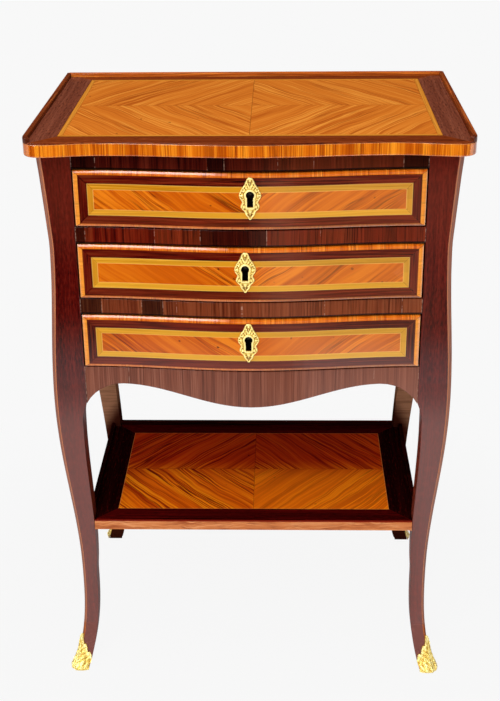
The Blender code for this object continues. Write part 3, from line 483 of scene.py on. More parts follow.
def make_shelf_lip():
    """The shelf's front edge, with a dark line along its upper arris."""
    _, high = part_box("shelf_lip")
    s = Shader("shelf_lip", **WAXED)
    colour, fine = grain(s, s.x * 6.0, s.z, 15.0, LIP_WOOD, 120.0, 500.0, 1.2)
    colour = s.mix(flecks(s, s.x, s.z, 3.0, LIP_KNOT_CELLS), colour, rgb(96, 40, 20))
    colour = s.mix(s.z.fade(high.z - LIP_LINE[0], high.z - LIP_LINE[1]), colour, rgb(120, 26, 14))
    dress_rounded(s, colour, fine, EDGE_ROUNDING, "shelf_lip")


# Case

# For each rail: its wood, its share of brown strips, the strength of its fine lines,
# and the ends of its dark strips along x
FRAME_WOODS = {
    "top_rail": (SHADED_AMARANTH, 0.05, 0.65, ((-0.203, -0.175), (-0.047, -0.028), (0.174, 0.203))),
    "upper_drawer_rail": (AMARANTH, 0.22, 0.65, ((-0.203, -0.1915), (-0.057, 0.0195))),
    "lower_drawer_rail": (RAIL_AMARANTH, 0.20, 0.5, ((-0.203, -0.177), (-0.129, -0.1035))),
    "front_apron": (BROWN_AMARANTH, 0.06, 0.3, ()),
}
RAIL_POLISH = {**POLISH, "Coat Weight": 0.5}
TOP_RAIL_POLISH = {**POLISH, "Coat Weight": 0.25}
APRON_FINENESS = 2.0
STRIPS = 22.0
SEAM_GAP = 0.0004
GLUE_LINE = 0.0007
END_GLUE = (0.0010, 0.0004)
# Painted shadow along a rail's lower edge: full up to the first height over it, gone by the second
GAP_SHADOW_RISE = (0.0008, 0.0020)


def make_rail(number, node, wood, brown, lines, blocks):
    """A rail or the apron: upright veneer in strips of uneven tone, with pale glue lines at some joints."""
    low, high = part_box(node)
    s = Shader(f"{node}_veneer", **(TOP_RAIL_POLISH if node == "top_rail" else RAIL_POLISH))
    across = s.x * (APRON_FINENESS if node == "front_apron" else 1.0)
    colour, fine = grain(s, s.z, across, 20.0 + number, wood, 90.0, 420.0, 1.2)
    strip = s.x * STRIPS + s.streaks(0.0, s.x * 18.0, number + 0.5) * 2.2 + number * 7.0
    tone = s.chance(strip.floor())
    share = tone.fade(0.35, 1.0) * brown + s.x.fade(*PALING) * 0.16
    colour = s.mix(share, colour, rgb(136, 66, 32))
    hair = s.streaks(s.z * 12.0, across * 400.0, 26.0 + number, 3.0, 0.6)
    colour = s.mix(hair.fade(0.50, 0.66) * lines * 0.7, colour, wood[2])
    colour = s.mix((1 - hair.fade(0.34, 0.47)) * lines, colour, wood[3])
    joint = 1 - abs(strip - (strip + 0.5).floor()).fade(0.004, 0.012)
    glue = joint * (s.chance((strip + 0.5).floor()) > 0.6)
    for start, end in blocks:
        inside = s.x.fade(start, start + SEAM_GAP) * (1 - s.x.fade(end - SEAM_GAP, end))
        colour = s.mix(inside * 0.72, colour, rgb(14, 3, 3))
        glue = glue * (1 - inside) + s.x.near(start, GLUE_LINE) + s.x.near(end, GLUE_LINE)
    ends = abs(s.x).fade(high.x - END_GLUE[0], high.x - END_GLUE[1])
    broken = s.streaks(s.z * 240.0, s.x * 30.0, 3.0).fade(0.40, 0.62)
    colour = s.mix((glue + ends).lowest(1.0) * broken * 0.5, colour, GLUE)
    # Painted shadow of the gap over the drawer, along the rail's lower edge
    if node != "front_apron":
        gap_shadow = 1 - s.z.fade(low.z + GAP_SHADOW_RISE[0], low.z + GAP_SHADOW_RISE[1])
        colour = s.mix(gap_shadow * 0.85, colour, GAP_SHADOW)
    dress_rounded(s, colour, fine, RAIL_ROUNDING, node)


LEG_STEPS = 4
FOOT_HEIGHT = 0.056
# Faces of a front and of a back leg with the inner material, counted round the section
INNER_FACES = {-1: (4,), 1: (3, 4)}
RING_GAP = 2e-4
SAME_PLACE = 1e-5


class Leg:
    """The shape of a leg, between the rings of its node."""

    def __init__(self, node, hand, end):
        self.hand, self.end = hand, end
        points = [NODES[node].matrix_world @ v.co for v in NODES[node].data.vertices]
        self.heights, self.rings = [], []
        inner_x = 0.0
        for height in sorted({round(p.z, 4) for p in points}):
            ring = [(p.x * hand, p.y * end) for p in points if abs(p.z - height) < RING_GAP]
            outer_x, outer_y = max(x for x, y in ring), max(y for x, y in ring)
            least_x, inner_y = min(x for x, y in ring), min(y for x, y in ring)
            cant = outer_x - max(x for x, y in ring if outer_y - y < SAME_PLACE)
            if least_x < outer_x - 2 * cant:
                inner_x = least_x
            self.heights.append(height)
            self.rings.append((inner_x, outer_x, inner_y, outer_y, cant))

    def slope(self, number, value):
        """How fast a value changes with height at a ring, without overshoot."""
        if not 0 < number < len(self.rings) - 1:
            return 0.0
        before = self.rings[number][value] - self.rings[number - 1][value]
        after = self.rings[number + 1][value] - self.rings[number][value]
        if before * after <= 0.0:
            return 0.0
        before /= self.heights[number] - self.heights[number - 1]
        after /= self.heights[number + 1] - self.heights[number]
        return 2 * before * after / (before + after)

    def section(self, z):
        """Inner x, outer x, inner y, outer y and cant at a height."""
        number = max(n for n, height in enumerate(self.heights[:-1]) if n == 0 or height <= z)
        step = self.heights[number + 1] - self.heights[number]
        t = (z - self.heights[number]) / step
        values = []
        for value in range(5):
            start, end = self.rings[number][value], self.rings[number + 1][value]
            leave, arrive = self.slope(number, value) * step, self.slope(number + 1, value) * step
            rise = (3 * t**2 - 2 * t**3) * (end - start)
            values.append(start + rise + (t - 2 * t**2 + t**3) * leave + (t**3 - t**2) * arrive)
        return values

    def corners(self, z):
        """The section's five corners, from the inner end of the end face round to the innermost one."""
        inner_x, outer_x, inner_y, outer_y, cant = self.section(z)
        ring = ((inner_x, outer_y), (outer_x - cant, outer_y), (outer_x, outer_y - cant))
        ring += ((outer_x, inner_y), (inner_x, inner_y))
        return [Vector((self.hand * x, self.end * y, z)) for x, y in ring]

    def levels(self):
        pairs = zip(self.heights, self.heights[1:])
        steps = [a + (b - a) * i / LEG_STEPS for a, b in pairs for i in range(LEG_STEPS)]
        return steps + [self.heights[-1]]


def make_leg(node, leg, outer, inner, foot):
    """A smooth leg through its node's rings, with other materials on its inner faces and its foot."""

    def build(work, around):
        rings = []
        for z in leg.levels():
            ring = [work.verts.new(corner) for corner in leg.corners(z)]
            for number, vertex in enumerate(ring):
                vertex[around] = number
            rings.append(ring)
        for low, high in zip(rings, rings[1:]):
            for i in range(len(low)):
                j = (i + 1) % len(low)
                face = work.faces.new((low[i], low[j], high[j], high[i]))
                by_foot = low[0].co.z < FOOT_HEIGHT
                face.material_index = 1 if i in INNER_FACES[leg.end] else 2 * by_foot
        work.faces.new(rings[0])
        work.faces.new(rings[-1])

    piece = closed_mesh(f"{node}_veneered", build, "around", 35)
    for material in (outer, inner, foot):
        piece.data.materials.append(material)
    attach(piece, "carcase")
    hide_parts(node)


STRIP_WOOD = (rgb(104, 44, 20), rgb(142, 72, 38), rgb(170, 98, 60), rgb(64, 24, 12))
RIGHT_POLISH = {**POLISH, "Coat Weight": 0.6}
# Painted sheen and haze on the legs, standing in for reflections: the heights over which the knee and
# shoulder sheen fade, and the strength of the haze on the feet and on the back legs' inner faces
KNEE_SHEEN = (0.32, 0.46)
SHOULDER_SHEEN = (0.55, 0.65)
FOOT_HAZE = 0.75
BACK_HAZE = 0.85

# Painted shade in the corner over the shelf, on the inner faces of the back legs
CORNER_SHADE_SIDE = 0.19
CORNER_SHADE_LEAN = 1.5
CORNER_SHADE_SPAN = (0.250, 0.292)


def leg_veneer(name, finish, seed, strip_wood, painted_haze=0.0, foot_haze=0.0):
    """Upright amaranth with short dark pores, and a paler strip with an orange line on the cant."""
    s = Shader(name, **finish)
    colour, fine = grain(s, s.z, s.x + s.y * 0.9, seed, LEG_AMARANTH, 60.0, 420.0, 0.8, 0.4)
    short = s.streaks(s.z * 70.0, (s.x + s.y) * 700.0, seed + 6.0, 1.0).fade(0.54, 0.66)
    colour = s.mix(short * 0.5, colour, LEG_AMARANTH[3])
    mottle = s.streaks(s.z * 130.0, (s.x + s.y) * 420.0, seed + 9.0, 3.0)
    colour = s.mix(mottle.fade(0.48, 0.68) * 0.5, colour, LEG_AMARANTH[2])
    colour = s.mix((1 - mottle.fade(0.32, 0.50)) * 0.35, colour, LEG_AMARANTH[3])
    # Painted sheen: lighter below the knee and at the shoulder, standing in for reflections
    tone_shift = (1 - s.z.fade(*KNEE_SHEEN)) * 0.30 + s.z.fade(*SHOULDER_SHEEN) * 0.16
    colour = s.mix(tone_shift, colour, rgb(136, 62, 42))
    # Painted haze on the back legs' inner faces, standing in for reflections
    if painted_haze:
        colour = s.mix(painted_haze, colour, rgb(164, 118, 88))
        level = s.streaks(s.x * 20.0, s.z * 420.0, seed + 12.0, 3.0, 0.6)
        colour = s.mix((1 - level.fade(0.38, 0.56)) * 0.45, colour, rgb(92, 56, 40))
        # Painted shade in the corner over the shelf
        corner = s.z + (abs(s.x) - CORNER_SHADE_SIDE) * CORNER_SHADE_LEAN
        colour = s.mix((1 - corner.fade(*CORNER_SHADE_SPAN)) * 0.95, colour, rgb(48, 6, 3))
    # Painted haze on the foot, standing in for reflections
    if foot_haze:
        colour = s.mix(foot_haze, colour, rgb(118, 76, 70))
    if strip_wood:
        around = Num(s, s.add("ShaderNodeAttribute", attribute_name="around").outputs["Fac"])
        pale, _ = grain(s, s.z, s.x, seed + 3.0, strip_wood, 160.0, 600.0)
        pale = s.mix((around < 1.3) * 0.6, pale, rgb(206, 112, 48))
        colour = s.mix((around > 1.0) * (around < 2.0), colour, pale)
    normal, _ = s.rounded(LEG_ROUNDING)
    return s.finish(colour, fine, normal=normal)


def make_legs():
    for end_name, end in ENDS:
        for side_name, hand in SIDES:
            node = f"leg_{end_name}_{side_name}"
            seed = 30.0 + end + 2 * hand
            inner_finish, painted_haze = (DULL, 0.0) if end < 0 else (MATT, BACK_HAZE)
            outer = leg_veneer(f"{node}_outer", POLISH if hand < 0 else RIGHT_POLISH, seed, STRIP_WOOD)
            inner = leg_veneer(f"{node}_inner", inner_finish, seed, None, painted_haze)
            foot = leg_veneer(f"{node}_foot", DULL, seed, STRIP_WOOD, foot_haze=FOOT_HAZE)
            make_leg(node, Leg(node, hand, end), outer, inner, foot)


SIDE_BORDER = 0.020
SIDE_LINE = 0.005


def make_sides():
    """Side panels veneered like the front: a matched field, a pale line and a dark border."""
    for name, hand in SIDES:
        node = f"side_panel_{name}"
        low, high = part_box(node)
        low = Vector((low.y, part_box("front_apron")[1].z))
        high = Vector((high.y, high.z))
        s = Shader(f"{node}_veneer", **DULL)
        in_u, in_v, by_u = from_edges(s.y, s.z, low, high)
        along, across = along_edges(s.y, s.z, in_u, in_v, by_u)
        inward = in_u.lowest(in_v)
        middle = (low + high) / 2
        field, fine = matched_field(s, s.y - middle.x, s.z - middle.y, SIDE_GRAIN, 90.0 + hand, TULIPWOOD)
        line, _ = grain(s, along, across, 92.0, BOXWOOD, 90.0, 420.0)
        border, _ = grain(s, along, across, by_u * 2.0 + 94.0, AMARANTH, 60.0, 420.0)
        colour = s.mix(inward > SIDE_BORDER, border, line)
        colour = s.mix(inward > SIDE_BORDER + SIDE_LINE, colour, field)
        dress_rounded(s, colour, fine, EDGE_ROUNDING, node)


def make_oak():
    plain = ["back_panel", "shelf_board"]
    plain += [f"runner_{level}_{name}" for level in LEVELS for name, _ in SIDES]
    plain += [f"{level}_drawer_{part}" for level in LEVELS for part in ("back", "base")]
    boards = [f"{level}_drawer_side_{name}" for level in LEVELS for name, _ in SIDES]
    for name, nodes in (("oak", plain), ("oak_sides", boards)):
        s = Shader(name, **BARE)
        along, across = (s.y, s.x * 0.3 + s.z) if nodes is boards else (s.x, s.y + s.z)
        colour, fine = grain(s, along, across, 80.0, OAK, 40.0, 260.0)
        normal, _ = s.rounded(EDGE_ROUNDING)
        dress(s.finish(colour, fine, 0.0002, normal), *nodes)


# Drawers

LIP_WIDTH = 0.0040
DARK_WIDTH = 0.0105
BAND_WIDTH = 0.0066
VENEER_BLEND = 0.0002
INLAY_LINE = 0.0006
FRONT_THICKNESS = 0.020
BACK_BLEND = 0.0015
KEYHOLE_REACH = 0.008
SIDE_LIP_EXTRA = 0.0018
LIP_LEAN = math.radians(36)

# Limits of a face's own normal along y: a shaped front face, and a wall of the keyhole
SHAPED_FACE = -0.12
KEYHOLE_WALL = -0.6


def lip_normal(s, u, v, inward, by_u):
    """The front's normal, leaning out over the lip, and the y part of the face's own normal."""
    own = s.add("ShaderNodeNewGeometry").outputs["True Normal"]
    nx, ny, nz = s.parts(own)
    level = s.calc("SQRT", nx * nx + ny * ny).highest(0.001)
    lean = (1 - inward * (1 / LIP_WIDTH)).fade(0.20, 0.95) * LIP_LEAN
    upright, outward = s.calc("COSINE", lean), s.calc("SINE", lean)
    x = s.calc("DIVIDE", nx, level) * (1 - by_u) * upright + u.sign() * by_u * outward
    y = (s.calc("DIVIDE", ny, level) * (1 - by_u) - by_u) * upright
    z = v.sign() * (1 - by_u) * outward
    shaped = ny < SHAPED_FACE
    places = [shaped * a + (1 - shaped) * b for a, b in zip((x, y, z), (nx, ny, nz))]
    return s.vector(*places), ny


def drawer_veneers(s, number, u, v, along, across, by_u, mitre):
    """Colours of a drawer front's lip, dark border, pale band and field, and the field's fine lines."""
    field, fine = matched_field(s, u, v, DRAWER_GRAIN, 43.0 + 5 * number, TULIPWOOD, False, 1.3, 0.9, 0.45)
    band, _ = grain(s, along, across, 50.0 + number, BOXWOOD, 110.0, 500.0)
    # Paler towards the right on the field, band, border and bottom lip: painted reflection
    painted_haze = s.x.fade(*PALING)
    field = s.mix(painted_haze * 0.25, field, rgb(218, 136, 64))
    band = s.mix(painted_haze * 0.25, band, rgb(190, 142, 70))
    band = s.mix(painted_haze * (v > 0.0) * 0.2, band, rgb(130, 90, 30))
    band = s.mix(by_u * (u < 0.0) * 0.25, band, rgb(168, 100, 28))
    band = s.mix(mitre * 0.6, band, rgb(96, 56, 12))
    dark, _ = grain(s, along, across, by_u * 2.0 + 55.0 + number, AMARANTH, 70.0, 480.0, 1.7, 0.8)
    fibre = s.streaks(along * 14.0, across * 420.0, by_u * 2.0 + 65.0 + number, 3.0, 0.6)
    dark = s.mix(fibre.fade(0.50, 0.66) * 0.3, dark, rgb(132, 60, 26))
    dark = s.mix((1 - fibre.fade(0.34, 0.48)) * 0.75, dark, AMARANTH[3])
    bottom = (1 - by_u) * (v < 0.0)
    # Browner along the bottom border: painted haze
    dark = s.mix(bottom * 0.15, dark, rgb(134, 62, 32))
    dark = s.mix(painted_haze * 0.04, dark, rgb(150, 68, 30))
    dark = s.mix(mitre * 0.5, dark, rgb(20, 4, 4))
    band = s.mix(bottom * 0.4, band, BOXWOOD[2])
    below = len(LEVELS) - 1 - number
    band = s.mix(below * 0.12, band, rgb(204, 158, 44))
    dark = s.mix(below * 0.09, dark, rgb(24, 3, 3))
    lip, _ = grain(s, across, along, 60.0 + number, LIP_TULIPWOOD, 70.0, 330.0, 1.0, 0.8)
    # Pinker and greyer bottom lip: painted reflection
    lip = s.mix(bottom * 0.5, lip, rgb(170, 104, 66))
    lip = s.mix(bottom * painted_haze * 0.45, lip, rgb(84, 48, 34))
    lip = s.mix(by_u * 0.45, lip, rgb(240, 166, 66))
    lip = s.mix(mitre * 0.6, lip, rgb(100, 40, 12))
    return lip, dark, band, field, fine


def make_drawer_front(level, number):
    """Lip, dark border, mitred pale band and book-matched field, all in one veneered face."""
    node = f"{level}_drawer_front"
    low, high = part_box(node)
    middle = (low + high) / 2
    s = Shader(f"{level}_drawer_veneer", **POLISH)
    u, v = s.x - middle.x, s.z - middle.z
    in_u, in_v, by_u = from_edges(s.x, s.z, front(low), front(high))
    along, across = along_edges(u, v, in_u, in_v, by_u)
    in_u = in_u - in_u.fade(0.0, LIP_WIDTH + SIDE_LIP_EXTRA) * SIDE_LIP_EXTRA
    by_u = in_u < in_v
    inward = in_u.lowest(in_v)
    mitre = seam(abs(in_u - in_v))
    colour, dark, band, field, fine = drawer_veneers(s, number, u, v, along, across, by_u, mitre)
    reach = 0.0
    for width, layer in ((LIP_WIDTH, dark), (DARK_WIDTH, band), (BAND_WIDTH, field)):
        reach += width
        colour = s.mix(inward.fade(reach - VENEER_BLEND, reach + VENEER_BLEND), colour, layer)
    band_start = LIP_WIDTH + DARK_WIDTH
    lines = abs(inward - band_start).lowest(abs(inward - reach))
    colour = s.mix(seam(lines, width=INLAY_LINE) * 0.4, colour, rgb(240, 190, 100))
    back = low.y + FRONT_THICKNESS
    board, _ = grain(s, s.x, s.z, 70.0, OAK, 60.0, 300.0)
    colour = s.mix(s.y.fade(back, back + BACK_BLEND), colour, board)
    lock = box_middle(f"{level}_drawer_escutcheon")
    normal, facing = lip_normal(s, u, v, inward, by_u)
    # Painted shade: the keyhole's walls made near black
    keyhole_shade = (facing > KEYHOLE_WALL) * (abs(s.x - lock.x) < KEYHOLE_REACH) * (inward > band_start)
    colour = s.mix(keyhole_shade, colour, rgb(8, 4, 3))
    dress(s.finish(colour, fine, normal=normal), node)


# Metal


def make_iron():
    s = Shader("lock_iron", Metallic=1.0, Roughness=0.42)
    rust = s.streaks(s.x * 300.0, s.z * 300.0, s.y * 300.0, 4.0)
    colour = s.ramp(rust, (0.35, rgb(34, 30, 28)), (0.6, rgb(70, 66, 62)))
    names = [f"{level}_drawer_{part}" for level in LEVELS for part in ("lock", "bolt")]
    dress(s.finish(colour, rust), *names)


GILT_TONES = (
    (0.0, rgb(112, 76, 20)),
    (0.25, rgb(176, 134, 42)),
    (0.5, rgb(222, 190, 88)),
    (0.8, rgb(244, 226, 148)),
)


def make_gilt():
    """Gilding that is bright on the crests of the casting and brown in its hollows."""
    s = Shader("gilt_bronze", Metallic=0.12, Roughness=0.5)
    crest = Num(s, s.add("ShaderNodeAttribute", attribute_name="crest").outputs["Fac"])
    wear = s.streaks(s.x * 500.0, s.z * 500.0, s.y * 500.0, 3.0)
    tone = crest + (wear - 0.5) * 0.5
    return s.finish(s.ramp(tone, *GILT_TONES), wear, 0.00015)


def closed_mesh(name, build, layer="crest", sharp=50):
    """A mesh object from a function that fills a bmesh and a value at its points, turned out and smooth."""
    work = bmesh.new()
    value = work.verts.layers.float.new(layer)
    build(work, value)
    bmesh.ops.remove_doubles(work, verts=work.verts, dist=1e-6)
    bmesh.ops.dissolve_degenerate(work, edges=work.edges, dist=1e-7)
    bmesh.ops.recalc_face_normals(work, faces=work.faces)
    mesh = bpy.data.meshes.new(name)
    work.to_mesh(mesh)
    work.free()
    mesh.shade_smooth()
    mesh.set_sharp_from_angle(angle=math.radians(sharp))
    obj = bpy.data.objects.new(name, mesh)
    bpy.context.scene.collection.objects.link(obj)
    return obj


def strip_faces(work, first, second):
    """Quads between two rows of vertices of equal length."""
    for (a, b), (c, d) in zip(zip(first, first[1:]), zip(second, second[1:])):
        if len({a, b, c, d}) == 4:
            work.faces.new((a, b, d, c))


def bell(distance, width):
    return math.exp(-((distance / width) ** 2))


# Outline of the escutcheon: half width at each height over its middle, in millimetres
CARTOUCHE = (
    (24.6, 0.6), (24.3, 2.3), (22.3, 3.8), (19.1, 5.2), (16.9, 5.9), (14.9, 7.1), (13.2, 8.5), (10.0, 10.5),
    (9.1, 10.3), (7.4, 11.8), (5.3, 12.45), (3.1, 12.7), (0.5, 11.8), (-1.6, 10.3), (-4.3, 8.9), (-5.9, 9.8),
    (-8.0, 10.7), (-10.1, 11.0), (-12.3, 9.6), (-14.9, 6.8), (-16.6, 5.75), (-18.2, 5.6), (-20.2, 4.4),
    (-21.6, 2.8), (-22.7, 2.0), (-24.0, 1.6), (-24.6, 0.5),
)
KEYHOLE_RADIUS = 4.8
KEYHOLE_RISE = 4.0
KEYHOLE_SLOT = 3.5
KEYHOLE_FOOT = -10.2
PLATE_COLUMNS = 16
PLATE_STEP = 0.7
LEAST_STEP = 0.05
PLATE_EDGE = 1.7
PLATE_DOME = 0.9
DOME_REACH = 7.0
EDGE_DROP = 1.2
FLUTES = 25.0
# Places and radii of the scrolls and of the nail heads
SCROLLS = ((7.4, -9.4, 2.7), (9.2, 3.6, 2.6), (6.9, 9.3, 2.2), (3.6, 15.0, 1.6), (3.2, -17.0, 1.6))
NAILS = ((0.0, 17.4, 1.5), (0.0, -18.6, 1.3))


def outline_half_width(z):
    """Half the escutcheon's width at a height, from its outline."""
    for (high, wide_high), (low, wide_low) in zip(CARTOUCHE, CARTOUCHE[1:]):
        if z >= low:
            share = (z - low) / (high - low)
            return wide_low + (wide_high - wide_low) * share
    return CARTOUCHE[-1][1]


def keyhole_half_width(z):
    """Half the keyhole's width at a height: a round hole over a slot."""
    if not KEYHOLE_FOOT <= z <= KEYHOLE_RISE + KEYHOLE_RADIUS:
        return 0.0
    ring = math.sqrt(max(KEYHOLE_RADIUS**2 - (z - KEYHOLE_RISE) ** 2, 0.0))
    return max(ring, KEYHOLE_SLOT) if z < KEYHOLE_RISE else ring


def from_keyhole(x, z):
    """Distance from the edge of the keyhole."""
    ring = math.hypot(x, z - KEYHOLE_RISE) - KEYHOLE_RADIUS
    slot_x = max(x - KEYHOLE_SLOT, 0.0)
    slot_z = max(KEYHOLE_FOOT - z, z - KEYHOLE_RISE, 0.0)
    return max(min(ring, math.hypot(slot_x, slot_z)), 0.0)


def from_outline(x, z):
    """Distance in from the edge of the escutcheon."""
    point = Vector((x, z))
    nearest = 100.0
    for (high, wide_high), (low, wide_low) in zip(CARTOUCHE, CARTOUCHE[1:]):
        start, end = Vector((wide_high, high)), Vector((wide_low, low))
        run = end - start
        share = min(max((point - start).dot(run) / run.length_squared, 0.0), 1.0)
        nearest = min(nearest, (point - start - run * share).length)
    return nearest


def plate_relief(x, z):
    """Height of the casting over its back, and how far a spot is a crest (1) or a hollow (0), at x >= 0."""
    edge = from_outline(x, z)
    hole = from_keyhole(x, z)
    height = PLATE_EDGE + PLATE_DOME * min(edge / DOME_REACH, 1.0)
    detail = 0.6 * bell(edge - 0.9, 0.6) - 0.35 * bell(edge - 2.1, 0.6)
    detail += 0.7 * bell(hole - 0.9, 1.0) - 0.35 * bell(hole - 2.7, 0.6)
    turn = math.atan2(z - KEYHOLE_RISE * 0.4, x)
    between = min(max((hole - 2.6) / 0.8, 0.0), 1.0) * min(edge / 1.6, 1.0)
    detail += 0.5 * math.sin(turn * FLUTES + hole * 0.5) * between
    for centre_x, centre_z, radius in SCROLLS:
        reach = math.hypot(x - centre_x, z - centre_z) / radius
        detail += 0.6 * bell(reach, 0.6) - 0.4 * bell(reach - 1.0, 0.25)
    for centre_x, centre_z, radius in NAILS:
        reach = math.hypot(x - centre_x, z - centre_z) / radius
        detail += 0.9 * bell(reach, 0.55) - 0.9 * bell(reach - 0.95, 0.3)
    detail += 0.5 * (noise.noise(Vector((x * 1.3, z * 1.3, 4.0)))) * min(edge, 1.0)
    return height + 0.75 * detail, 0.52 + 0.68 * detail


def plate_rows():
    """Heights of the rows of the escutcheon's mesh, closer where the outline or the keyhole turns."""
    top, bottom = CARTOUCHE[0][0], CARTOUCHE[-1][0]
    ends = [KEYHOLE_FOOT, KEYHOLE_FOOT - 0.08, KEYHOLE_RISE + KEYHOLE_RADIUS]
    ends += [KEYHOLE_RISE + KEYHOLE_RADIUS * math.sin(math.radians(degrees)) for degrees in (50, 65, 76, 84)]
    ends += [height for height, _ in CARTOUCHE]
    count = round((top - bottom) / PLATE_STEP)
    ends += [bottom + (top - bottom) * i / count for i in range(count + 1)]
    rows = []
    for height in sorted(ends):
        if not rows or height - rows[-1] > LEAST_STEP:
            rows.append(height)
    return rows


def make_escutcheon(level, gilt):
    """A cast keyhole plate in relief: raised edge, collar, flutes, scrolls and two nails."""
    node = f"{level}_drawer_escutcheon"
    low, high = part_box(node)
    middle = (low + high) / 2
    rows = plate_rows()

    def build(work, crest):
        for hand in (-1, 1):
            previous = None
            for z in rows:
                inner, outer = keyhole_half_width(z), outline_half_width(z)
                front_row, back_row = [], []
                for i in range(PLATE_COLUMNS + 1):
                    x = inner + (outer - inner) * i / PLATE_COLUMNS
                    height, share = plate_relief(x, z)
                    height -= EDGE_DROP * (i == PLATE_COLUMNS)
                    place = (middle.x + hand * x / 1000, high.y - height / 1000, middle.z + z / 1000)
                    vertex = work.verts.new(place)
                    vertex[crest] = share
                    front_row.append(vertex)
                    back_row.append(work.verts.new((place[0], high.y, place[2])))
                loop = front_row + back_row[::-1]
                if previous is None or z == rows[-1]:
                    work.faces.new(loop)
                if previous:
                    strip_faces(work, previous[0], loop)
                    if previous[1] or inner:
                        strip_faces(work, [previous[0][-1], previous[0][0]], [loop[-1], loop[0]])
                previous = (loop, inner)

    piece = closed_mesh(f"{level}_escutcheon_cast", build)
    piece.data.materials.append(gilt)
    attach(piece, f"{level}_drawer")
    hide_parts(node)


# Sabots: metres, following the rings of the leg that each one shoes

SABOT_FIT = 0.0005
SABOT_SHELL = 0.0015
SABOT_EDGE = 0.012
SABOT_TIP = 0.042
SABOT_BULGE = 0.0045
LEAF_POWER = 1.3
LEAF_LOBES = 3
LOBE_RISE = 0.004
SABOT_COLUMNS = 72
SABOT_ROWS = 44
LEAST_RELIEF = 0.4
# Where the corners of the leg fall, from -1 at one end of the sabot to 1 at the other
FACE_ENDS = (-1.0, -0.25, 0.25, 1.0)


def foot_point(leg, across, z, stand_off):
    """A point standing off a foot: across runs -1 to 1 from the end face round the corner to the side."""
    inner_x, outer_x, inner_y, outer_y, cant = leg.section(z)
    tuck = stand_off * math.tan(math.pi / 8)
    path = (
        Vector((inner_x, outer_y + stand_off)),
        Vector((outer_x - cant + tuck, outer_y + stand_off)),
        Vector((outer_x + stand_off, outer_y - cant + tuck)),
        Vector((outer_x + stand_off, inner_y)),
    )
    piece = sum(across >= end for end in FACE_ENDS[1:-1])
    share = (across - FACE_ENDS[piece]) / (FACE_ENDS[piece + 1] - FACE_ENDS[piece])
    place = path[piece].lerp(path[piece + 1], share)
    return Vector((leg.hand * place.x, leg.end * place.y, z))


def leaf_height(across):
    """Height of the sabot's leaf: a point on the corner, and lobes down to either side."""
    nearness = 1 - abs(across)
    height = SABOT_EDGE + (SABOT_TIP - SABOT_EDGE) * nearness**LEAF_POWER
    return height + LOBE_RISE * abs(math.sin(math.pi * LEAF_LOBES * nearness))


def leaf_relief(across, up, z, seed):
    """Height of the sabot's casting over its leg in millimetres, and how far a spot is a crest."""
    nearness = 1 - abs(across)
    round_corner = 1.1 * bell(across, 0.35)
    millimetres = z * 1000
    veins = math.sin(millimetres * 0.95 - abs(across) * 13.0)
    detail = 0.32 * veins * min(abs(across) / 0.12, 1.0) * min(up / 0.2, 1.0)
    detail += 0.7 * bell(across, 0.055) * (0.4 + 0.6 * up)
    detail += 0.6 * bell((1 - up) * (4 + millimetres * 0.2), 1.3)
    detail -= 0.5 * bell((1 - up) * (4 + millimetres * 0.2) - 2.6, 0.9)
    detail += 0.40 * math.cos(across * 23.0) * bell(millimetres - 7.0, 5.0)
    detail += 0.45 * noise.noise(Vector((across * 14.0, millimetres * 0.7, seed)))
    detail += 0.30 * noise.noise(Vector((across * 30.0, millimetres * 1.5, seed)))
    toe = bell(abs(across) - 0.55, 0.42) * (1 - up) ** LEAF_POWER * min(1.0, nearness / 0.2)
    curl = 1 - (1 - min(millimetres / 5.0, 1.0)) ** 2
    bulge = SABOT_BULGE * 1000 * toe * (0.35 + 0.65 * curl)
    return SABOT_SHELL * 1000 + bulge + round_corner * up + 0.8 * detail, 0.62 + 0.5 * detail


def make_sabot(end_name, end, side_name, hand, gilt):
    """A cast shoe in relief on the two outer faces of the foot, with a leaf that climbs the corner."""
    node = f"sabot_{end_name}_{side_name}"
    leg = Leg(f"leg_{end_name}_{side_name}", hand, end)

    def build(work, crest):
        inside, outside = [], []
        for i in range(SABOT_COLUMNS + 1):
            across = -1 + 2 * i / SABOT_COLUMNS
            height = leaf_height(across)
            inner_column, outer_column = [], []
            for j in range(SABOT_ROWS + 1):
                up = j / SABOT_ROWS
                z = up * height
                relief, share = leaf_relief(across, up, z, 2.0 * end + hand)
                inner_column.append(work.verts.new(foot_point(leg, across, z, SABOT_FIT)))
                stand_off = SABOT_FIT + max(relief, LEAST_RELIEF) / 1000
                vertex = work.verts.new(foot_point(leg, across, z, stand_off))
                vertex[crest] = share
                outer_column.append(vertex)
            inside.append(inner_column)
            outside.append(outer_column)
        for grid in (inside, outside):
            for first, second in zip(grid, grid[1:]):
                strip_faces(work, first, second)
        for i in (0, -1):
            strip_faces(work, inside[i], outside[i])
            strip_faces(work, [column[i] for column in inside], [column[i] for column in outside])

    piece = closed_mesh(f"{node}_cast", build)
    piece.data.materials.append(gilt)
    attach(piece, "carcase")
    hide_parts(node)


def make_mounts():
    gilt = make_gilt()
    for level in LEVELS:
        make_escutcheon(level, gilt)
    for end_name, end in ENDS:
        for side_name, hand in SIDES:
            make_sabot(end_name, end, side_name, hand, gilt)


# Studio

BACKGROUND = rgb(248, 248, 248)
FLOOR_SHADE = (0.82, 0.82, 0.82)
FLOOR_GLOW = 0.97
FLOOR_SIZE = 16.0
FLOOR_DROP = 0.0005
SHADOW_FADE = (0.35, 0.70)

# Strength of the light that polish reflects: low at the horizon, in the lit box and in the room
HORIZON_LIGHT = 1.5
BOX_LIGHT = 14.0
ROOM_LIGHT = 0.02

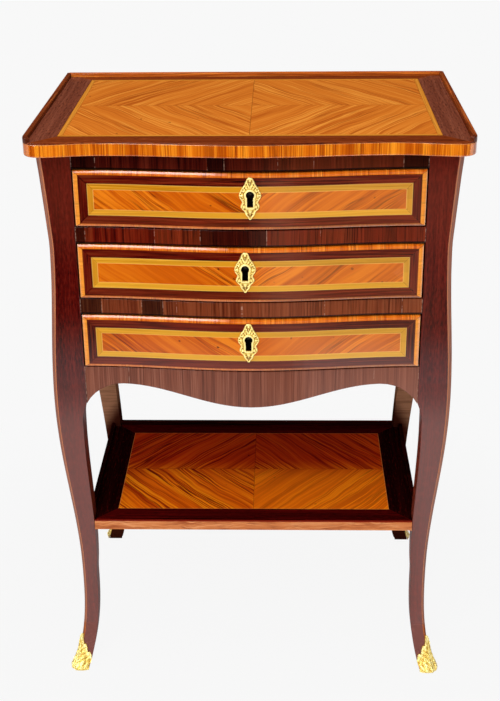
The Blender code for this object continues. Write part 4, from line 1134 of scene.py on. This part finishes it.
# The floor as polish reflects it: its colour further off, and the spans over which its zones begin or end
WARM_FLOOR = (1.0, 0.80, 0.58)
WARM_END = (-1.35, -1.05)
ZONE_LIGHT = 0.9
PATCH_LEFT = (-0.15, 0.20)
PATCH_RIGHT = (0.26, 0.50)
PATCH_FRONT = (-2.65, -2.3)
NEAR_FRONT = (-1.38, -1.08)
NEARER_FRONT = (-1.15, -0.8)
NEARER_BACK = (-0.35, -0.10)
BRIGHT_RIGHT = (0.18, 0.28)
FAR_FRONT = (-3.6, -3.0)

# Name, place, target, width, height and watts of each lamp
LAMPS = (
    ("key", (-0.5, -1.7, 2.2), (0.0, -0.1, 0.5), 1.2, 1.2, 27.0),
    ("fill", (-0.1, -2.4, 0.8), (0.0, 0.0, 0.40), 1.2, 1.0, 20.0),
    ("overhead", (0.0, -0.35, 2.5), (0.0, -0.1, 0.6), 1.0, 1.0, 18.0),
)


def aim(place, target):
    look = (Vector(target) - Vector(place)).to_track_quat("-Z", "Y")
    return Matrix.Translation(place) @ look.to_matrix().to_4x4()


def add_lamp(name, place, target, width, height, watts):
    lamp = bpy.data.lights.new(name, "AREA")
    lamp.shape = "RECTANGLE"
    lamp.size = width
    lamp.size_y = height
    lamp.energy = watts
    holder = bpy.data.objects.new(name, lamp)
    holder.matrix_world = aim(place, target)
    holder.visible_glossy = False
    bpy.context.scene.collection.objects.link(holder)


def make_world():
    """White to the camera; polish reflects light at the horizon, and a dark room with a lit box over it."""
    world = bpy.data.worlds.new("studio")
    bpy.context.scene.world = world
    world.use_nodes = True
    g = Graph(world.node_tree)
    path = g.add("ShaderNodeLightPath").outputs
    seen = Num(g, path["Is Camera Ray"]).highest(Num(g, path["Is Transmission Ray"]))
    across, back, up = g.parts(g.add("ShaderNodeTexCoord").outputs["Generated"])
    soft = 0.10 + 0.26 * up.fade(0.3, 0.8) + 0.16 * (0.0 - back).fade(0.0, 0.8)
    ahead = (0.0 - back).fade(-0.1, 0.2)
    low = (1 - up.fade(0.10, 0.30)) * ahead
    box = (1 - across.fade(-0.20, -0.10)) * up.fade(0.36, 0.46) * ahead
    room = low * HORIZON_LIGHT + box * BOX_LIGHT + ROOM_LIGHT
    glossy = Num(g, path["Is Glossy Ray"])
    light = glossy * room + (1 - glossy) * soft
    grey = g.add("ShaderNodeCombineColor", {"Red": light, "Green": light, "Blue": light}).outputs[0]
    g.put(world.node_tree.nodes["Background"].inputs["Color"], g.mix(seen, grey, BACKGROUND))


def make_floor():
    """White to the camera with a faint share of shadow by the feet; polish reflects it in bright zones."""
    bpy.ops.mesh.primitive_plane_add(size=FLOOR_SIZE, location=(0.0, 0.0, -FLOOR_DROP))
    floor = bpy.context.object
    floor.name = "floor"
    material = bpy.data.materials.new("floor")
    material.use_nodes = True
    g = Graph(material.node_tree)
    shade = g.tree.nodes["Principled BSDF"]
    shade.inputs["Base Color"].default_value = (*FLOOR_SHADE, 1.0)
    shade.inputs["Roughness"].default_value = 0.9
    path = g.add("ShaderNodeLightPath").outputs
    x, y, _ = g.parts(g.add("ShaderNodeNewGeometry").outputs["Position"])
    away = g.calc("SQRT", x * x + y * y)
    seen = Num(g, path["Is Camera Ray"]) * (away.fade(*SHADOW_FADE) * (1 - FLOOR_GLOW) + FLOOR_GLOW)
    white = g.add("ShaderNodeEmission", {"Color": BACKGROUND}).outputs[0]
    patch = x.fade(*PATCH_LEFT) * (1 - x.fade(*PATCH_RIGHT) * 0.6) * y.fade(*PATCH_FRONT)
    nearer = y.fade(*NEARER_FRONT) * ZONE_LIGHT * (1 - y.fade(*NEARER_BACK))
    near = (y.fade(*NEAR_FRONT) * ZONE_LIGHT + nearer) * (1 + x.fade(*BRIGHT_RIGHT) * 0.8)
    near = near.highest(patch * ZONE_LIGHT) + (1 - y.fade(*FAR_FRONT))
    tint = g.mix(y.fade(*WARM_END), WARM_FLOOR, BACKGROUND)
    sheen = g.add("ShaderNodeEmission", {"Color": tint, "Strength": near}).outputs[0]
    glossy = g.add("ShaderNodeMixShader", {0: Num(g, path["Is Glossy Ray"]), 1: shade.outputs[0], 2: sheen})
    whole = g.add("ShaderNodeMixShader", {0: seen, 1: glossy.outputs[0], 2: white})
    g.put(g.tree.nodes["Material Output"].inputs["Surface"], whole.outputs[0])
    floor.data.materials.append(material)


def make_camera():
    camera = bpy.data.cameras.new("camera")
    camera.sensor_fit = "VERTICAL"
    camera.sensor_height = SENSOR
    camera.lens = FOCAL_PIXELS * SENSOR / PHOTO_HEIGHT
    holder = bpy.data.objects.new("camera", camera)
    bpy.context.scene.collection.objects.link(holder)
    turn = Matrix.Rotation(CAMERA_YAW, 3, "Z") @ Matrix.Rotation(CAMERA_PITCH, 3, "X")
    turn = turn @ Matrix.Rotation(CAMERA_ROLL, 3, "Y")
    look = turn @ Matrix.Rotation(math.pi / 2, 3, "X")
    holder.matrix_world = Matrix.Translation(CAMERA_PLACE) @ look.to_4x4()
    bpy.context.scene.camera = holder


make_camera()
make_world()
make_floor()
for lamp in LAMPS:
    add_lamp(*lamp)
make_top_field()
make_stringing()
make_border("top_border", "top_banding", "top_stringing", TOP_AMARANTH, SIDE_AMARANTH, WAXED)
make_top_edge()
make_rims()
make_shelf_field()
make_shelf_rims()
make_shelf_lip()
make_border("shelf_border", "shelf_banding", "shelf_field", SHELF_AMARANTH, SHELF_SIDE_AMARANTH, MATT)
for position, (rail, looks) in enumerate(FRAME_WOODS.items()):
    make_rail(position, rail, *looks)
make_legs()
make_sides()
make_oak()
for position, level in enumerate(LEVELS):
    make_drawer_front(level, position)
make_iron()
make_mounts()

bpy.context.scene.view_settings.view_transform = "Standard"
